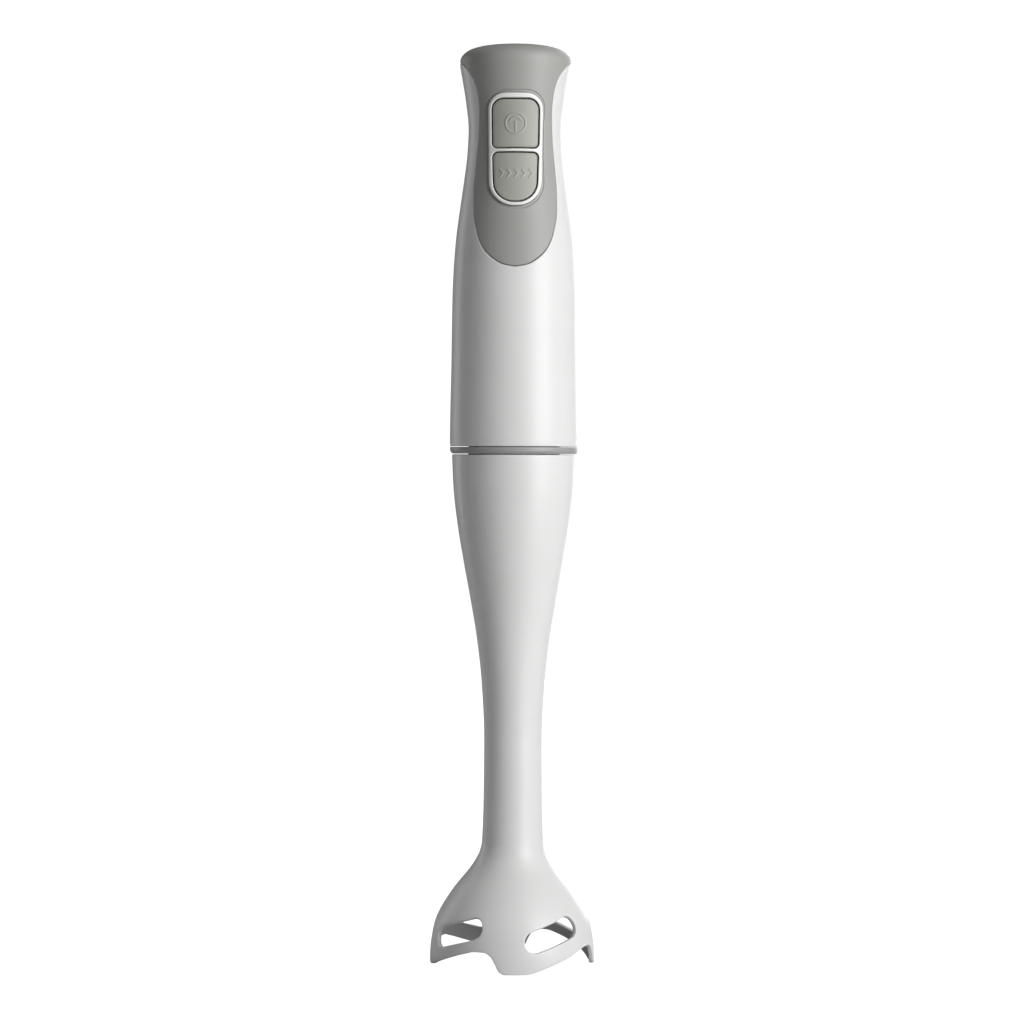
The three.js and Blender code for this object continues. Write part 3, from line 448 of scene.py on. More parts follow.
def trim(bm, borders, closed, cell):
    """Cuts a sheet back to its borders and draws its cut edges onto them."""

    def room(points):
        return np.array([b.distance(points) - b.lip for b in borders])

    centres = np.array([f.calc_center_median()[:2] for f in bm.faces])
    spare = room(centres).min(0)
    doomed = [f for f, left in zip(list(bm.faces), spare) if left < 0]
    bmesh.ops.delete(bm, geom=doomed, context="FACES")
    on_edge = list({v for e in cut_edges(bm, closed) for v in e.verts})
    side, up = np.array([NUDGE, 0]), np.array([0, NUDGE])
    points = np.array([v.co[:2] for v in on_edge])
    for _ in range(6):
        left = room(points).min(0)
        slope = np.column_stack(
            [
                (room(points + side).min(0) - room(points - side).min(0)) / (2 * NUDGE),
                (room(points + up).min(0) - room(points - up).min(0)) / (2 * NUDGE),
            ]
        )
        steep = np.maximum((slope**2).sum(1), 0.3)
        points = points - slope * (left / steep)[:, None]
    for vert, point in zip(on_edge, points):
        vert.co.x, vert.co.y = point
    edge_set = set(on_edge)
    spare = room(np.array([v.co[:2] for v in bm.verts])).min(0)
    loose = [
        v
        for v, left in zip(list(bm.verts), spare)
        if v not in edge_set and left < 2.6 * cell and not closed(v.co)
    ]
    for _ in range(4):
        bmesh.ops.smooth_vert(bm, verts=loose, factor=0.5, use_axis_x=True, use_axis_y=True)


def thicken(bm, borders, closed, wall):
    """Gives a trimmed sheet its inner face, and joins the two round rounded edges."""
    mark = bm.verts.layers.int.new("edge point")
    edges = cut_edges(bm, closed)
    ring_verts = list({v for e in edges for v in e.verts})
    base = np.array([v.co[:2] for v in ring_verts])
    spare = np.array([b.distance(base) - b.lip for b in borders])
    owner = spare.argmin(0)
    away = np.zeros_like(base)
    for index, border in enumerate(borders):
        mine = owner == index
        if mine.any():
            points = base[mine]
            for axis, move in enumerate(((NUDGE, 0), (0, NUDGE))):
                step = np.array(move)
                behind, ahead = border.distance(points - step), border.distance(points + step)
                away[mine, axis] = behind - ahead
    away /= np.maximum(np.hypot(*away.T), 1e-12)[:, None]
    for index, vert in enumerate(ring_verts):
        vert[mark] = index + 1
    doubled = bmesh.ops.duplicate(bm, geom=[*bm.verts, *bm.edges, *bm.faces])["geom"]
    for item in doubled:
        if isinstance(item, bmesh.types.BMVert):
            item.co.z = wall
    inner = [item for item in doubled if isinstance(item, bmesh.types.BMFace)]
    bmesh.ops.reverse_faces(bm, faces=inner)
    for step in range(len(borders[0].rings)):
        made = bmesh.ops.extrude_edge_only(bm, edges=edges)["geom"]
        edges = [item for item in made if isinstance(item, bmesh.types.BMEdge)]
        for item in made:
            if isinstance(item, bmesh.types.BMVert):
                index = item[mark] - 1
                out, depth = borders[owner[index]].rings[step]
                spot = base[index] + away[index] * out
                item.co = (spot[0], spot[1], depth)
    bmesh.ops.remove_doubles(bm, verts=bm.verts, dist=1e-6)


def set_points(bm, points):
    """Moves every point of a mesh to its new place."""
    for vert, point in zip(bm.verts, points):
        vert.co = point


def flat_points(bm):
    """Every point of a mesh as an array."""
    return np.array([v.co[:] for v in bm.verts])


def finish_mesh(bm, name, body, slot, nodes, sharp=40):
    """Makes an object of a mesh, closes its seams, and gives it its body, slot and finish."""
    bmesh.ops.remove_doubles(bm, verts=bm.verts, dist=2e-6)
    bmesh.ops.dissolve_degenerate(bm, edges=bm.edges, dist=1e-7)
    bmesh.ops.recalc_face_normals(bm, faces=bm.faces)
    for face in bm.faces:
        face.smooth = True
    mesh = bpy.data.meshes.new(name)
    bm.to_mesh(mesh)
    bm.free()
    mesh.set_sharp_from_angle(angle=math.radians(sharp))
    mesh.materials.append(finish(slot))
    piece = bpy.data.objects.new(name, mesh)
    bpy.context.scene.collection.objects.link(piece)
    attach(piece, body)
    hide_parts(*nodes)


def turned(line, steps=128):
    """A closed solid turned round the Z axis from its outline of (radius, level) points."""
    bm = bmesh.new()
    ring = [bm.verts.new((radius, 0, level)) for radius, level in line]
    edges = [bm.edges.new((a, b)) for a, b in zip(ring, [*ring[1:], ring[0]])]
    bmesh.ops.spin(
        bm,
        geom=[*ring, *edges],
        cent=(0, 0, 0),
        axis=(0, 0, 1),
        angle=math.tau,
        steps=steps,
        use_merge=True,
        use_duplicate=False,
    )
    bmesh.ops.remove_doubles(bm, verts=bm.verts, dist=1e-6)
    return bm


def soft_corners(line, radius, steps=3):
    """An outline of (radius, level) points with its corners rounded."""
    made = []
    count = len(line)
    for i in range(count):
        here = Vector(line[i])
        back, ahead = Vector(line[i - 1]) - here, Vector(line[(i + 1) % count]) - here
        reach = min(radius, back.length * 0.45, ahead.length * 0.45)
        start, end = here + back.normalized() * reach, here + ahead.normalized() * reach
        for k in range(steps + 1):
            t = k / steps
            made.append(tuple(start * (1 - t) ** 2 + here * 2 * t * (1 - t) + end * t**2))
    return made


def body_skin():
    """The motor unit's surface."""
    wide = sizes().body_radius
    line = [(share * wide, RING_LEVEL + level * UNIT_HEIGHT) for level, share in BODY_SHAPE]
    return Skin(line, wide)


def bell_line():
    """The leg and bell's outline, from the rim up."""
    size = sizes()
    slim, foot = size.leg_radius, size.bell_height
    spread, flare = size.bell_radius - slim, size.leg_top_radius - slim
    rise = LEG_TOP - foot
    bell = [(slim + share * spread, level * foot) for level, share in BELL_SHAPE]
    leg = [(slim + share * flare, foot + level * rise) for level, share in LEG_SHAPE]
    return [*bell, *leg]


def cover_outline(skin):
    """The grip cover's edge on the body's surface, closed over the top of the head."""
    wide = sizes().body_radius
    levels = np.array([level for _, level in COVER_SHAPE])
    halves = np.array([half for half, _ in COVER_SHAPE])
    steps = np.hypot(np.diff(levels) * UNIT_HEIGHT / wide, np.diff(halves))
    along = np.concatenate([[0], np.cumsum(steps)])
    level_at = smooth_line(list(zip(along, levels)))
    half_at = smooth_line(list(zip(along, halves)))
    spots = np.linspace(0, along[-1], 140)
    level = RING_LEVEL + level_at(spots) * UNIT_HEIGHT
    turn = np.arcsin(np.clip(half_at(spots) * wide / skin.wide(level), 0, 1))
    side = np.column_stack([turn * skin.radius, skin.along(level)])
    head = float(skin.along(RING_LEVEL + HEAD_SHARE * UNIT_HEIGHT))
    quarter = math.pi / 2 * skin.radius
    over = skin.reach + 0.02
    right = [*side[1:], (quarter * 1.02, head), (5 * quarter, head), (5 * quarter, over)]
    left = [(-x, y) for x, y in reversed(right)]
    return np.array([*side[:1], *right, *left])


def panel_outline(shape, grow=0.0, steps=10):
    """A panel's outline from the front, as (x, level) points."""
    half, low_half, low_share, high_share, top, low = shape
    bottom, ceiling = (RING_LEVEL + share * UNIT_HEIGHT for share in (low_share, high_share))
    corners = [
        ((half - top) * MM, ceiling - top * MM, top * MM, 0),
        ((top - half) * MM, ceiling - top * MM, top * MM, 90),
        ((low - low_half) * MM, bottom + low * MM, low * MM, 180),
        ((low_half - low) * MM, bottom + low * MM, low * MM, 270),
    ]
    made = []
    for x, level, radius, start in corners:
        for k in range(steps + 1):
            turn = math.radians(start + 90 * k / steps)
            reach = radius + grow
            made.append((x + reach * math.cos(turn), level + reach * math.sin(turn)))
    return np.array(made)


def on_skin(skin, outline):
    """A front outline of (x, level) points in a skin's own coordinates."""
    turn = np.arcsin(np.clip(outline[:, 0] / skin.wide(outline[:, 1]), -1, 1))
    return np.column_stack([turn * skin.radius, skin.along(outline[:, 1])])


def capsule(x, y, half_width, half_height, steps=10):
    """An upright slot's outline with round ends."""
    turns = np.radians(np.linspace(0, 180, steps + 1))
    out, up = half_width * np.cos(turns), half_height + half_width * np.sin(turns)
    return np.vstack([np.column_stack([x + out, y + up]), np.column_stack([x - out, y - up])])


class BLENDER_OT_motor_housing(bpy.types.Operator):
    """Make the white motor housing, with its vents and the pad for the cord"""

    bl_idname = "blender.motor_housing"
    bl_label = "Motor housing"

    def execute(self, context):
        size = sizes()
        skin = body_skin()
        wall = size.body_wall
        start = math.radians(-225) * skin.radius
        turn = math.tau * skin.radius
        columns = np.linspace(start, start + turn, 241)
        lip = 0.35 * MM
        head = float(skin.along(RING_LEVEL + HEAD_SHARE * UNIT_HEIGHT))
        rows = np.concatenate([[lip], np.linspace(1.0 * MM, head + 1.0 * MM, 160)])
        cover = cover_outline(skin)
        back = -math.pi * skin.radius
        vents = []
        for level in VENT_LEVELS:
            middle, wide = float(skin.along(level)), float(skin.wide(level))
            for x in VENT_PLACES:
                place = back + math.asin(x * MM / wide) * skin.radius
                vents.append(capsule(place, middle, VENT_HALF_WIDTH, VENT_HALF_LENGTH))
        around_gland = capsule(back, float(skin.along(GLAND_MIDDLE)), PAD_RADIUS, 0.0, 24)
        plain = rounded(lip, wall)
        borders = [
            Border(lambda p: p[:, 1], lip, plain),
            Border(lambda p: from_outline(p, cover) - size.gap / 2, lip, plain),
            Border(around_holes(vents), lip, plain),
            Border(around_holes([around_gland]), PAD_LIP, rounded(PAD_LIP, wall)),
        ]

        closed = seam(start, turn)
        bm = flat_sheet(columns, rows)
        trim(bm, borders, closed, 0.8 * MM)
        thicken(bm, borders, closed, wall)
        flat = flat_points(bm)
        points = skin.place(flat)
        pad_profile(flat, points, skin, back)
        set_points(bm, points)
        finish_mesh(bm, "housing_shell", "motor_unit", "white_plastic", ["motor_housing"])
        return {"FINISHED"}


def pad_profile(flat, points, skin, back):
    """Lifts the lip round the cord's way out into a flat round pad with a hole."""
    middle = np.array([back, float(skin.along(GLAND_MIDDLE))])
    reach = np.hypot(flat[:, 0] - middle[0], flat[:, 1] - middle[1])
    rise = np.clip((PAD_RADIUS + PAD_LIP + 0.01 * MM - reach) / PAD_LIP, 0, 1)
    near = reach < PAD_RADIUS + PAD_LIP + 0.005 * MM
    share = flat[:, 2] / sizes().body_wall
    for i in np.nonzero(near & (share >= 0.02) & (share < 0.9))[0]:
        turn = math.atan2(points[i, 2] - GLAND_MIDDLE, points[i, 0])
        if share[i] <= 0.2:
            radius = PAD_RADIUS - rise[i] * 0.05 * MM
            face = points[i, 1] + (PAD_FACE - points[i, 1]) * rise[i]
        else:
            radius, face = GLAND_HALF - 0.9 * MM, PAD_FACE
        points[i] = (radius * math.cos(turn), face, GLAND_MIDDLE + radius * math.sin(turn))


class BLENDER_OT_grip_cover(bpy.types.Operator):
    """Make the grey grip cover, from its oval front up over the head"""

    bl_idname = "blender.grip_cover"
    bl_label = "Grip cover"

    def execute(self, context):
        size = sizes()
        skin = body_skin()
        wall = size.leg_wall
        start = math.radians(-180) * skin.radius
        turn = math.tau * skin.radius
        columns = np.linspace(start, start + turn, 289)
        bottom = float(skin.along(RING_LEVEL + COVER_SHAPE[0][1] * UNIT_HEIGHT))
        rows = np.linspace(bottom - 0.4 * MM, skin.reach, 164)
        cover = cover_outline(skin)
        lip = 0.35 * MM
        hole = on_skin(skin, panel_outline(BEZEL, size.gap))
        deep = 0.42 * MM
        ledge = 0.85 * MM + lip
        recess = [
            (0.08 * MM, 0.03 * MM),
            (0.18 * MM, 0.12 * MM),
            (0.22 * MM, 0.3 * MM),
            (0.32 * MM, deep),
            (0.6 * MM, deep + 0.02 * MM),
            (ledge, deep + 0.02 * MM),
            (ledge + 0.05 * MM, wall * 0.6),
            (ledge, wall * 0.95),
            (0.0, wall),
        ]
        borders = [
            Border(lambda p: -from_outline(p, cover) - size.gap / 2, lip, rounded(lip, wall)),
            Border(around_holes([hole]), ledge + 0.05 * MM, recess),
        ]
        top = rows[-1]

        def closed(co):
            ends = (co.x - start, co.x - start - turn, co.y - top)
            return min(abs(end) for end in ends) < SAME

        bm = flat_sheet(columns, rows)
        trim(bm, borders, closed, 0.57 * MM)
        thicken(bm, borders, closed, wall)
        flat = flat_points(bm)
        points = skin.place(flat)
        apex = np.abs(flat[:, 1] - top) < SAME
        points[apex, :2] = 0.0
        set_points(bm, points)
        finish_mesh(bm, "grip_shell", "motor_unit", "grip_grey", ["grip_cover"])
        return {"FINISHED"}


def front_slab(outline, holes, cell, lip, wall, flange=None):
    """A flat sheet cut to an outline, with holes, its edges rounded, and its thickness.

    A flange is four rings that take the place of the outline's rounding at the back.
    """
    low, high = outline.min(0) - 2.3 * cell, outline.max(0) + 2.6 * cell
    across = np.linspace(low[0], high[0], round((high[0] - low[0]) / cell) + 1)
    up = np.linspace(low[1], high[1], round((high[1] - low[1]) / cell) + 1)
    rings = rounded(lip, wall)
    stepped = [*rings[:4], *flange, rings[-1]] if flange else rings
    borders = [Border(lambda p: -from_outline(p, outline), lip, stepped)]
    if holes:
        borders.append(Border(around_holes(holes), lip, rings))
    bm = flat_sheet(across, up)
    trim(bm, borders, lambda co: False, cell)
    thicken(bm, borders, lambda co: False, wall)
    return bm


class BLENDER_OT_button_bezel(bpy.types.Operator):
    """Make the bright frame round both buttons"""

    bl_idname = "blender.button_bezel"
    bl_label = "Button bezel"

    def execute(self, context):
        size = sizes()
        front = Front(body_skin(), size.bezel_proud)
        room = 0.58 * MM
        holes = [panel_outline(POWER, room), panel_outline(TURBO, room)]
        lip, seat, wall = 0.42 * MM, 3.2 * MM, 4.5 * MM
        reach = lip + 1.6 * MM
        bevel = 0.1 * MM
        flange = [(lip, seat), (reach, seat), (reach, wall - bevel), (reach - bevel, wall)]
        bm = front_slab(panel_outline(BEZEL), holes, 0.34 * MM, lip, wall, flange)
        set_points(bm, front.place(flat_points(bm)))
        finish_mesh(bm, "bezel_frame", "motor_unit", "bezel_white", ["button_bezel"])
        return {"FINISHED"}


def near_stroke(points, start, end):
    """Distance from points to a straight stroke."""
    start, end = np.array(start), np.array(end)
    run = end - start
    share = np.clip(((points - start) @ run) / (run @ run), 0, 1)
    return np.hypot(*(points - start - share[:, None] * run).T)


def power_sign(points):
    """Distance to the strokes of a plain power sign: a ring with an arc and a bar in it."""
    middle = (panel_outline(POWER).min(0) + panel_outline(POWER).max(0)) / 2
    spot = points - middle
    ring = np.abs(np.hypot(*spot.T) - 4.1 * MM)
    bar = near_stroke(spot, (0, -3.3 * MM), (0, 0.5 * MM))
    arc = np.abs(np.hypot(*spot.T) - 2.5 * MM)
    arc[spot[:, 1] < 0.9 * MM] = 1.0
    return np.minimum(np.minimum(ring, bar), arc)


def speed_sign(points):
    """Distance to the strokes of a row of chevrons, for full speed."""
    panel = panel_outline(TURBO)
    level = panel[:, 1].min() + 11.3 * MM
    spot = points - np.array([0, level])
    best = np.full(len(points), 1.0)
    for x in CHEVRONS:
        tip = ((x + 1.3) * MM, 0)
        for end in (1.5, -1.5):
            best = np.minimum(best, near_stroke(spot, (x * MM, end * MM), tip))
    return best


def soft_step(low, high, values):
    """Rises smoothly from 0 at low to 1 at high."""
    share = np.clip((values - low) / (high - low), 0, 1)
    return share * share * (3 - 2 * share)


class BLENDER_OT_buttons(bpy.types.Operator):
    """Make the power and turbo buttons, with their raised signs"""

    bl_idname = "blender.buttons"
    bl_label = "Buttons"

    def execute(self, context):
        size = sizes()
        front = Front(body_skin(), size.button_proud)
        pair = (("power_button", POWER, power_sign), ("turbo_button", TURBO, speed_sign))
        for name, shape, sign in pair:
            bm = front_slab(panel_outline(shape), [], 0.17 * MM, 0.7 * MM, 6.0 * MM)
            flat = flat_points(bm)
            points = front.place(flat)
            stroke = sign(flat[:, :2])
            rise = soft_step(0, 0.2 * MM, 0.42 * MM - stroke) * (flat[:, 2] < SAME)
            points[:, 1] -= rise * SIGN_RISE
            set_points(bm, points)
            finish_mesh(bm, name + "_key", name, "button_grey", [name])
        return {"FINISHED"}


class BLENDER_OT_trim_ring(bpy.types.Operator):
    """Make the grey ring between motor unit and leg"""

    bl_idname = "blender.trim_ring"
    bl_label = "Trim ring"

    def execute(self, context):
        wide = sizes().body_radius
        low, high = RING_LEVEL + 0.05 * MM, BODY_LEVEL - 0.25 * MM
        outline = [
            (wide - 4.4 * MM, low),
            (wide - 0.95 * MM, low),
            (wide - 0.1 * MM, low + 1.1 * MM),
            (wide - 0.06 * MM, high),
            (wide - 4.4 * MM, high),
        ]
        bm = turned(soft_corners(outline, 0.25 * MM), 192)
        finish_mesh(bm, "middle_ring", "motor_unit", "ring_grey", ["trim_ring"])
        return {"FINISHED"}


def bell_mean():
    """The radius that distances round the bell are counted at."""
    return sizes().bell_radius - 1.5 * MM


def slot_outline(skin, start):
    """A slanted slot in the bell, from the angle where it starts."""
    size = sizes()
    radius = size.slot_width / 2
    mean = bell_mean()
    length = math.radians(SLOT_SPAN) * mean - size.slot_width
    slant = math.atan2(SLOT_CLIMB, length)
    flat = capsule(0, 0, radius, length / 2)
    made = []
    for v, u in flat:
        u = u + length / 2
        across = u * math.cos(slant) + v * math.sin(slant) + radius
        level = u * math.sin(slant) - v * math.cos(slant) + SLOT_LEVEL
        made.append((math.radians(start) * mean + across, level))
    made = np.array(made)
    return np.column_stack([made[:, 0] / mean * skin.radius, skin.along(made[:, 1])])


def arch_outline(skin, start):
    """The opening under the rim between two feet, from the angle where the quarter starts."""
    rise = smooth_line(ARCH_SHAPE)
    first, last = ARCH_SHAPE[0][0], ARCH_SHAPE[-1][0]
    turns = np.concatenate([np.linspace(first, 60, 26), np.linspace(61, last, 36)])
    level = rise(turns) * sizes().arch_height
    top = np.column_stack([np.radians(turns + start) * skin.radius, skin.along(level)])
    below = [(math.radians(end + start) * skin.radius, -4 * MM) for end in (last, first)]
    return np.vstack([top, below])


class BLENDER_OT_leg(bpy.types.Operator):
    """Make the white leg with its slotted, four-footed bell"""

    bl_idname = "blender.leg"
    bl_label = "Leg and bell"

    def execute(self, context):
        skin = Skin(bell_line(), bell_mean())
        wall = sizes().leg_wall
        start = math.radians(-270) * skin.radius
        turn = math.tau * skin.radius
        columns = np.linspace(start, start + turn, 289)
        lip = 0.45 * MM
        near_rim = np.arange(lip, 32 * MM, 0.68 * MM)
        shoulder = np.arange(near_rim[-1] + 0.9 * MM, 60 * MM, 1.0 * MM)
        shaft = np.linspace(shoulder[-1] + 2.4 * MM, skin.reach - 1.5 * MM, 58)
        rows = np.concatenate([near_rim, shoulder, shaft, [skin.reach - lip]])
        slots = [slot_outline(skin, degrees) for degrees in SLOT_STARTS]
        arches = [arch_outline(skin, degrees) for degrees in ARCH_STARTS]
        plain = rounded(lip, wall)
        borders = [
            Border(lambda p: p[:, 1], lip, plain),
            Border(lambda p: skin.reach - p[:, 1], lip, plain),
            Border(around_holes(slots), lip, plain),
            Border(around_holes(arches), lip, plain),
        ]

        closed = seam(start, turn)
        bm = flat_sheet(columns, rows)
        trim(bm, borders, closed, 0.7 * MM)
        thicken(bm, borders, closed, wall)
        points = skin.place(flat_points(bm))
        points[:, 2] = np.maximum(points[:, 2], 0.0)
        set_points(bm, points)
        finish_mesh(bm, "leg_shell", "leg", "white_plastic", ["leg_housing"])
        return {"FINISHED"}


class BLENDER_OT_cord_gland(bpy.types.Operator):
    """Make the rubber gland where the cord goes in, at the back of the head"""

    bl_idname = "blender.cord_gland"
    bl_label = "Cord gland"

    def execute(self, context):
        face, back = GLAND_HIGH.y, GLAND_LOW.y
        outline = [
            (CORD_RADIUS, back),
            (GLAND_HALF, back),
            (GLAND_HALF, back + FLANGE_WIDTH),
            (SLEEVE_RADIUS, back + FLANGE_WIDTH),
            (SLEEVE_RADIUS, PAD_FACE + 0.2 * MM),
            (GLAND_HALF, PAD_FACE + 0.3 * MM),
            (GLAND_HALF - 0.5 * MM, face),
            (CORD_RADIUS, face),
        ]
        bm = turned(soft_corners(outline, 0.5 * MM, 4), 72)
        lift = Matrix.Translation((0, 0, GLAND_MIDDLE))
        lay = Matrix.Rotation(math.radians(-90), 4, "X")
        bmesh.ops.transform(bm, matrix=lift @ lay, verts=bm.verts)
        finish_mesh(bm, "gland_sleeve", "motor_unit", "rubber_black", ["cord_gland"])
        return {"FINISHED"}


class BLENDER_OT_cutter(bpy.types.Operator):
    """Make the bent steel blade and the six-sided nut that holds it"""

    bl_idname = "blender.cutter"
    bl_label = "Cutter"

    def execute(self, context):
        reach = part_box("blade")[1].x
        thick = 1.3 * MM
        bm = flat_sheet(np.linspace(-1, 1, 81), np.linspace(-1, 1, 25))
        bmesh.ops.solidify(bm, geom=list(bm.faces), thickness=1.0)
        flat = flat_points(bm)
        top = flat[:, 2] > flat[:, 2].mean()
        side = np.sign(flat[:, 0]) + (flat[:, 0] == 0)
        far = np.abs(flat[:, 0])
        tip = 1 - 0.16 * np.abs(flat[:, 1]) ** 3 * soft_step(0.6, 1.0, far)
        half = (6.6 - 2.9 * soft_step(0.12, 0.8, far)) * MM
        across = flat[:, 1] * half - side * 1.5 * MM * far**2
        bend = side * np.maximum(far - 0.32, 0) * 3.9 * MM
        twist = flat[:, 1] * half * 0.16 * soft_step(0.3, 0.8, far) * side
        edge = soft_step(0.35, 1.0, flat[:, 1] * side) * soft_step(0.25, 0.4, far)
        depth = np.where(top, 0.5, -0.5) * thick * (1 - 0.85 * edge)
        level = BLADE_LEVEL + bend + twist + depth
        set_points(bm, np.column_stack([flat[:, 0] * reach * tip, across, level]))
        finish_mesh(bm, "blade_wings", "blade_drive", "steel", ["blade"], 25)
        low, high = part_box("blade_nut")
        bm = bmesh.new()
        bmesh.ops.create_cone(
            bm, cap_ends=True, segments=6, radius1=high.y, radius2=high.y, depth=high.z - low.z
        )
        lift = Matrix.Translation((0, 0, (low.z + high.z) / 2))
        face_on = Matrix.Rotation(math.radians(30), 4, "Z")
        bmesh.ops.transform(bm, matrix=lift @ face_on, verts=bm.verts)
        bmesh.ops.bevel(
            bm,
            geom=list(bm.edges),
            offset=0.45 * MM,
            segments=3,
            profile=0.5,
            affect="EDGES",
            material=-1,
        )
        finish_mesh(bm, "blade_nut_hex", "blade_drive", "steel", ["blade_nut"])
        return {"FINISHED"}


# Each finish: kind, colour, roughness, grain size per metre, grain depth in metres.
FINISHES = {
    "white_plastic": ("moulded", None, 0.36, 5200, 0.000006),
    "grip_grey": ("moulded", None, 0.48, 3600, 0.000022),
    "bezel_white": ("moulded", None, 0.28, 5200, 0.000003),
    "button_grey": ("moulded", None, 0.5, 4200, 0.000014),
    "ring_grey": ("moulded", None, 0.38, 5200, 0.000006),
    "nylon": ("moulded", (0.7, 0.67, 0.6), 0.45, 3000, 0.00001),
    "black_plastic": ("moulded", (0.03, 0.03, 0.035), 0.42, 3000, 0.00001),
    "board_green": ("moulded", (0.05, 0.16, 0.07), 0.35, 900, 0.00001),
    "capacitor_yellow": ("moulded", (0.7, 0.4, 0.02), 0.4, 2500, 0.00001),
    "rubber_black": ("moulded", (0.025, 0.025, 0.025), 0.62, 2600, 0.00003),
    "lead_red": ("moulded", (0.4, 0.03, 0.02), 0.45, 3000, 0.00001),
    "lead_blue": ("moulded", (0.03, 0.08, 0.3), 0.45, 3000, 0.00001),
    "ferrite": ("moulded", (0.05, 0.05, 0.05), 0.7, 2200, 0.00004),
    "carbon": ("moulded", (0.04, 0.04, 0.04), 0.65, 2600, 0.00003),
    "steel": ("brushed", (0.55, 0.56, 0.57), 0.26, 2600, 0.000004),
    "zinc_steel": ("brushed", (0.45, 0.46, 0.48), 0.4, 1200, 0.000006),
    "copper": ("brushed", (0.6, 0.25, 0.12), 0.34, 2600, 0.00001),
    "bronze": ("brushed", (0.4, 0.24, 0.1), 0.42, 2200, 0.000008),
    "brass": ("brushed", (0.62, 0.42, 0.12), 0.32, 2200, 0.000004),
}
SCENE_COLOURS = {
    "white_plastic": "white",
    "grip_grey": "grip",
    "button_grey": "button",
    "bezel_white": "bezel",
    "ring_grey": "ring",
}


def socket(group, name, way, kind, default=None):
    """Adds a socket to a node group."""
    made = group.interface.new_socket(name=name, in_out=way, socket_type=kind)
    if default is not None:
        made.default_value = default


def surface_group(name, stretch):
    """A node group for fine surface texture: grain, cloudy tone and changing gloss."""
    found = bpy.data.node_groups.get(name)
    if found:
        return found
    group = bpy.data.node_groups.new(name, "ShaderNodeTree")
    socket(group, "Position", "INPUT", "NodeSocketVector")
    socket(group, "Colour", "INPUT", "NodeSocketColor", (0.8, 0.8, 0.8, 1.0))
    socket(group, "Grain Size", "INPUT", "NodeSocketFloat", 3000.0)
    socket(group, "Roughness", "INPUT", "NodeSocketFloat", 0.4)
    socket(group, "Tone Range", "INPUT", "NodeSocketFloat", 0.03)
    socket(group, "Colour", "OUTPUT", "NodeSocketColor")
    socket(group, "Roughness", "OUTPUT", "NodeSocketFloat")
    socket(group, "Grain", "OUTPUT", "NodeSocketFloat")
    nodes, links = group.nodes, group.links
    given, out = nodes.new("NodeGroupInput"), nodes.new("NodeGroupOutput")
    mapping = nodes.new("ShaderNodeMapping")
    mapping.inputs["Scale"].default_value = stretch
    links.new(given.outputs["Position"], mapping.inputs["Vector"])
    grain = nodes.new("ShaderNodeTexNoise")
    grain.inputs["Detail"].default_value = 3.0
    grain.inputs["Roughness"].default_value = 0.55
    links.new(mapping.outputs["Vector"], grain.inputs["Vector"])
    links.new(given.outputs["Grain Size"], grain.inputs["Scale"])
    cloud = nodes.new("ShaderNodeTexNoise")
    cloud.inputs["Scale"].default_value = 38.0
    cloud.inputs["Detail"].default_value = 4.0
    links.new(given.outputs["Position"], cloud.inputs["Vector"])
    tone = nodes.new("ShaderNodeMapRange")
    tone.inputs["From Min"].default_value = 0.3
    tone.inputs["From Max"].default_value = 0.7
    tone.inputs["To Max"].default_value = 1.0
    links.new(cloud.outputs["Fac"], tone.inputs["Value"])
    darker = nodes.new("ShaderNodeMath")
    darker.operation = "SUBTRACT"
    darker.inputs[0].default_value = 1.0
    links.new(given.outputs["Tone Range"], darker.inputs[1])
    links.new(darker.outputs["Value"], tone.inputs["To Min"])
    shade = nodes.new("ShaderNodeVectorMath")
    shade.operation = "SCALE"
    links.new(given.outputs["Colour"], shade.inputs[0])
    links.new(tone.outputs["Result"], shade.inputs["Scale"])
    links.new(shade.outputs["Vector"], out.inputs["Colour"])
    gloss = nodes.new("ShaderNodeMath")
    gloss.operation = "MULTIPLY_ADD"
    gloss.inputs[1].default_value = 0.12
    links.new(grain.outputs["Fac"], gloss.inputs[0])
    base = nodes.new("ShaderNodeMath")
    base.operation = "SUBTRACT"
    base.inputs[1].default_value = 0.06
    links.new(given.outputs["Roughness"], base.inputs[0])
    links.new(base.outputs["Value"], gloss.inputs[2])
    links.new(gloss.outputs["Value"], out.inputs["Roughness"])
    links.new(grain.outputs["Fac"], out.inputs["Grain"])
    return group


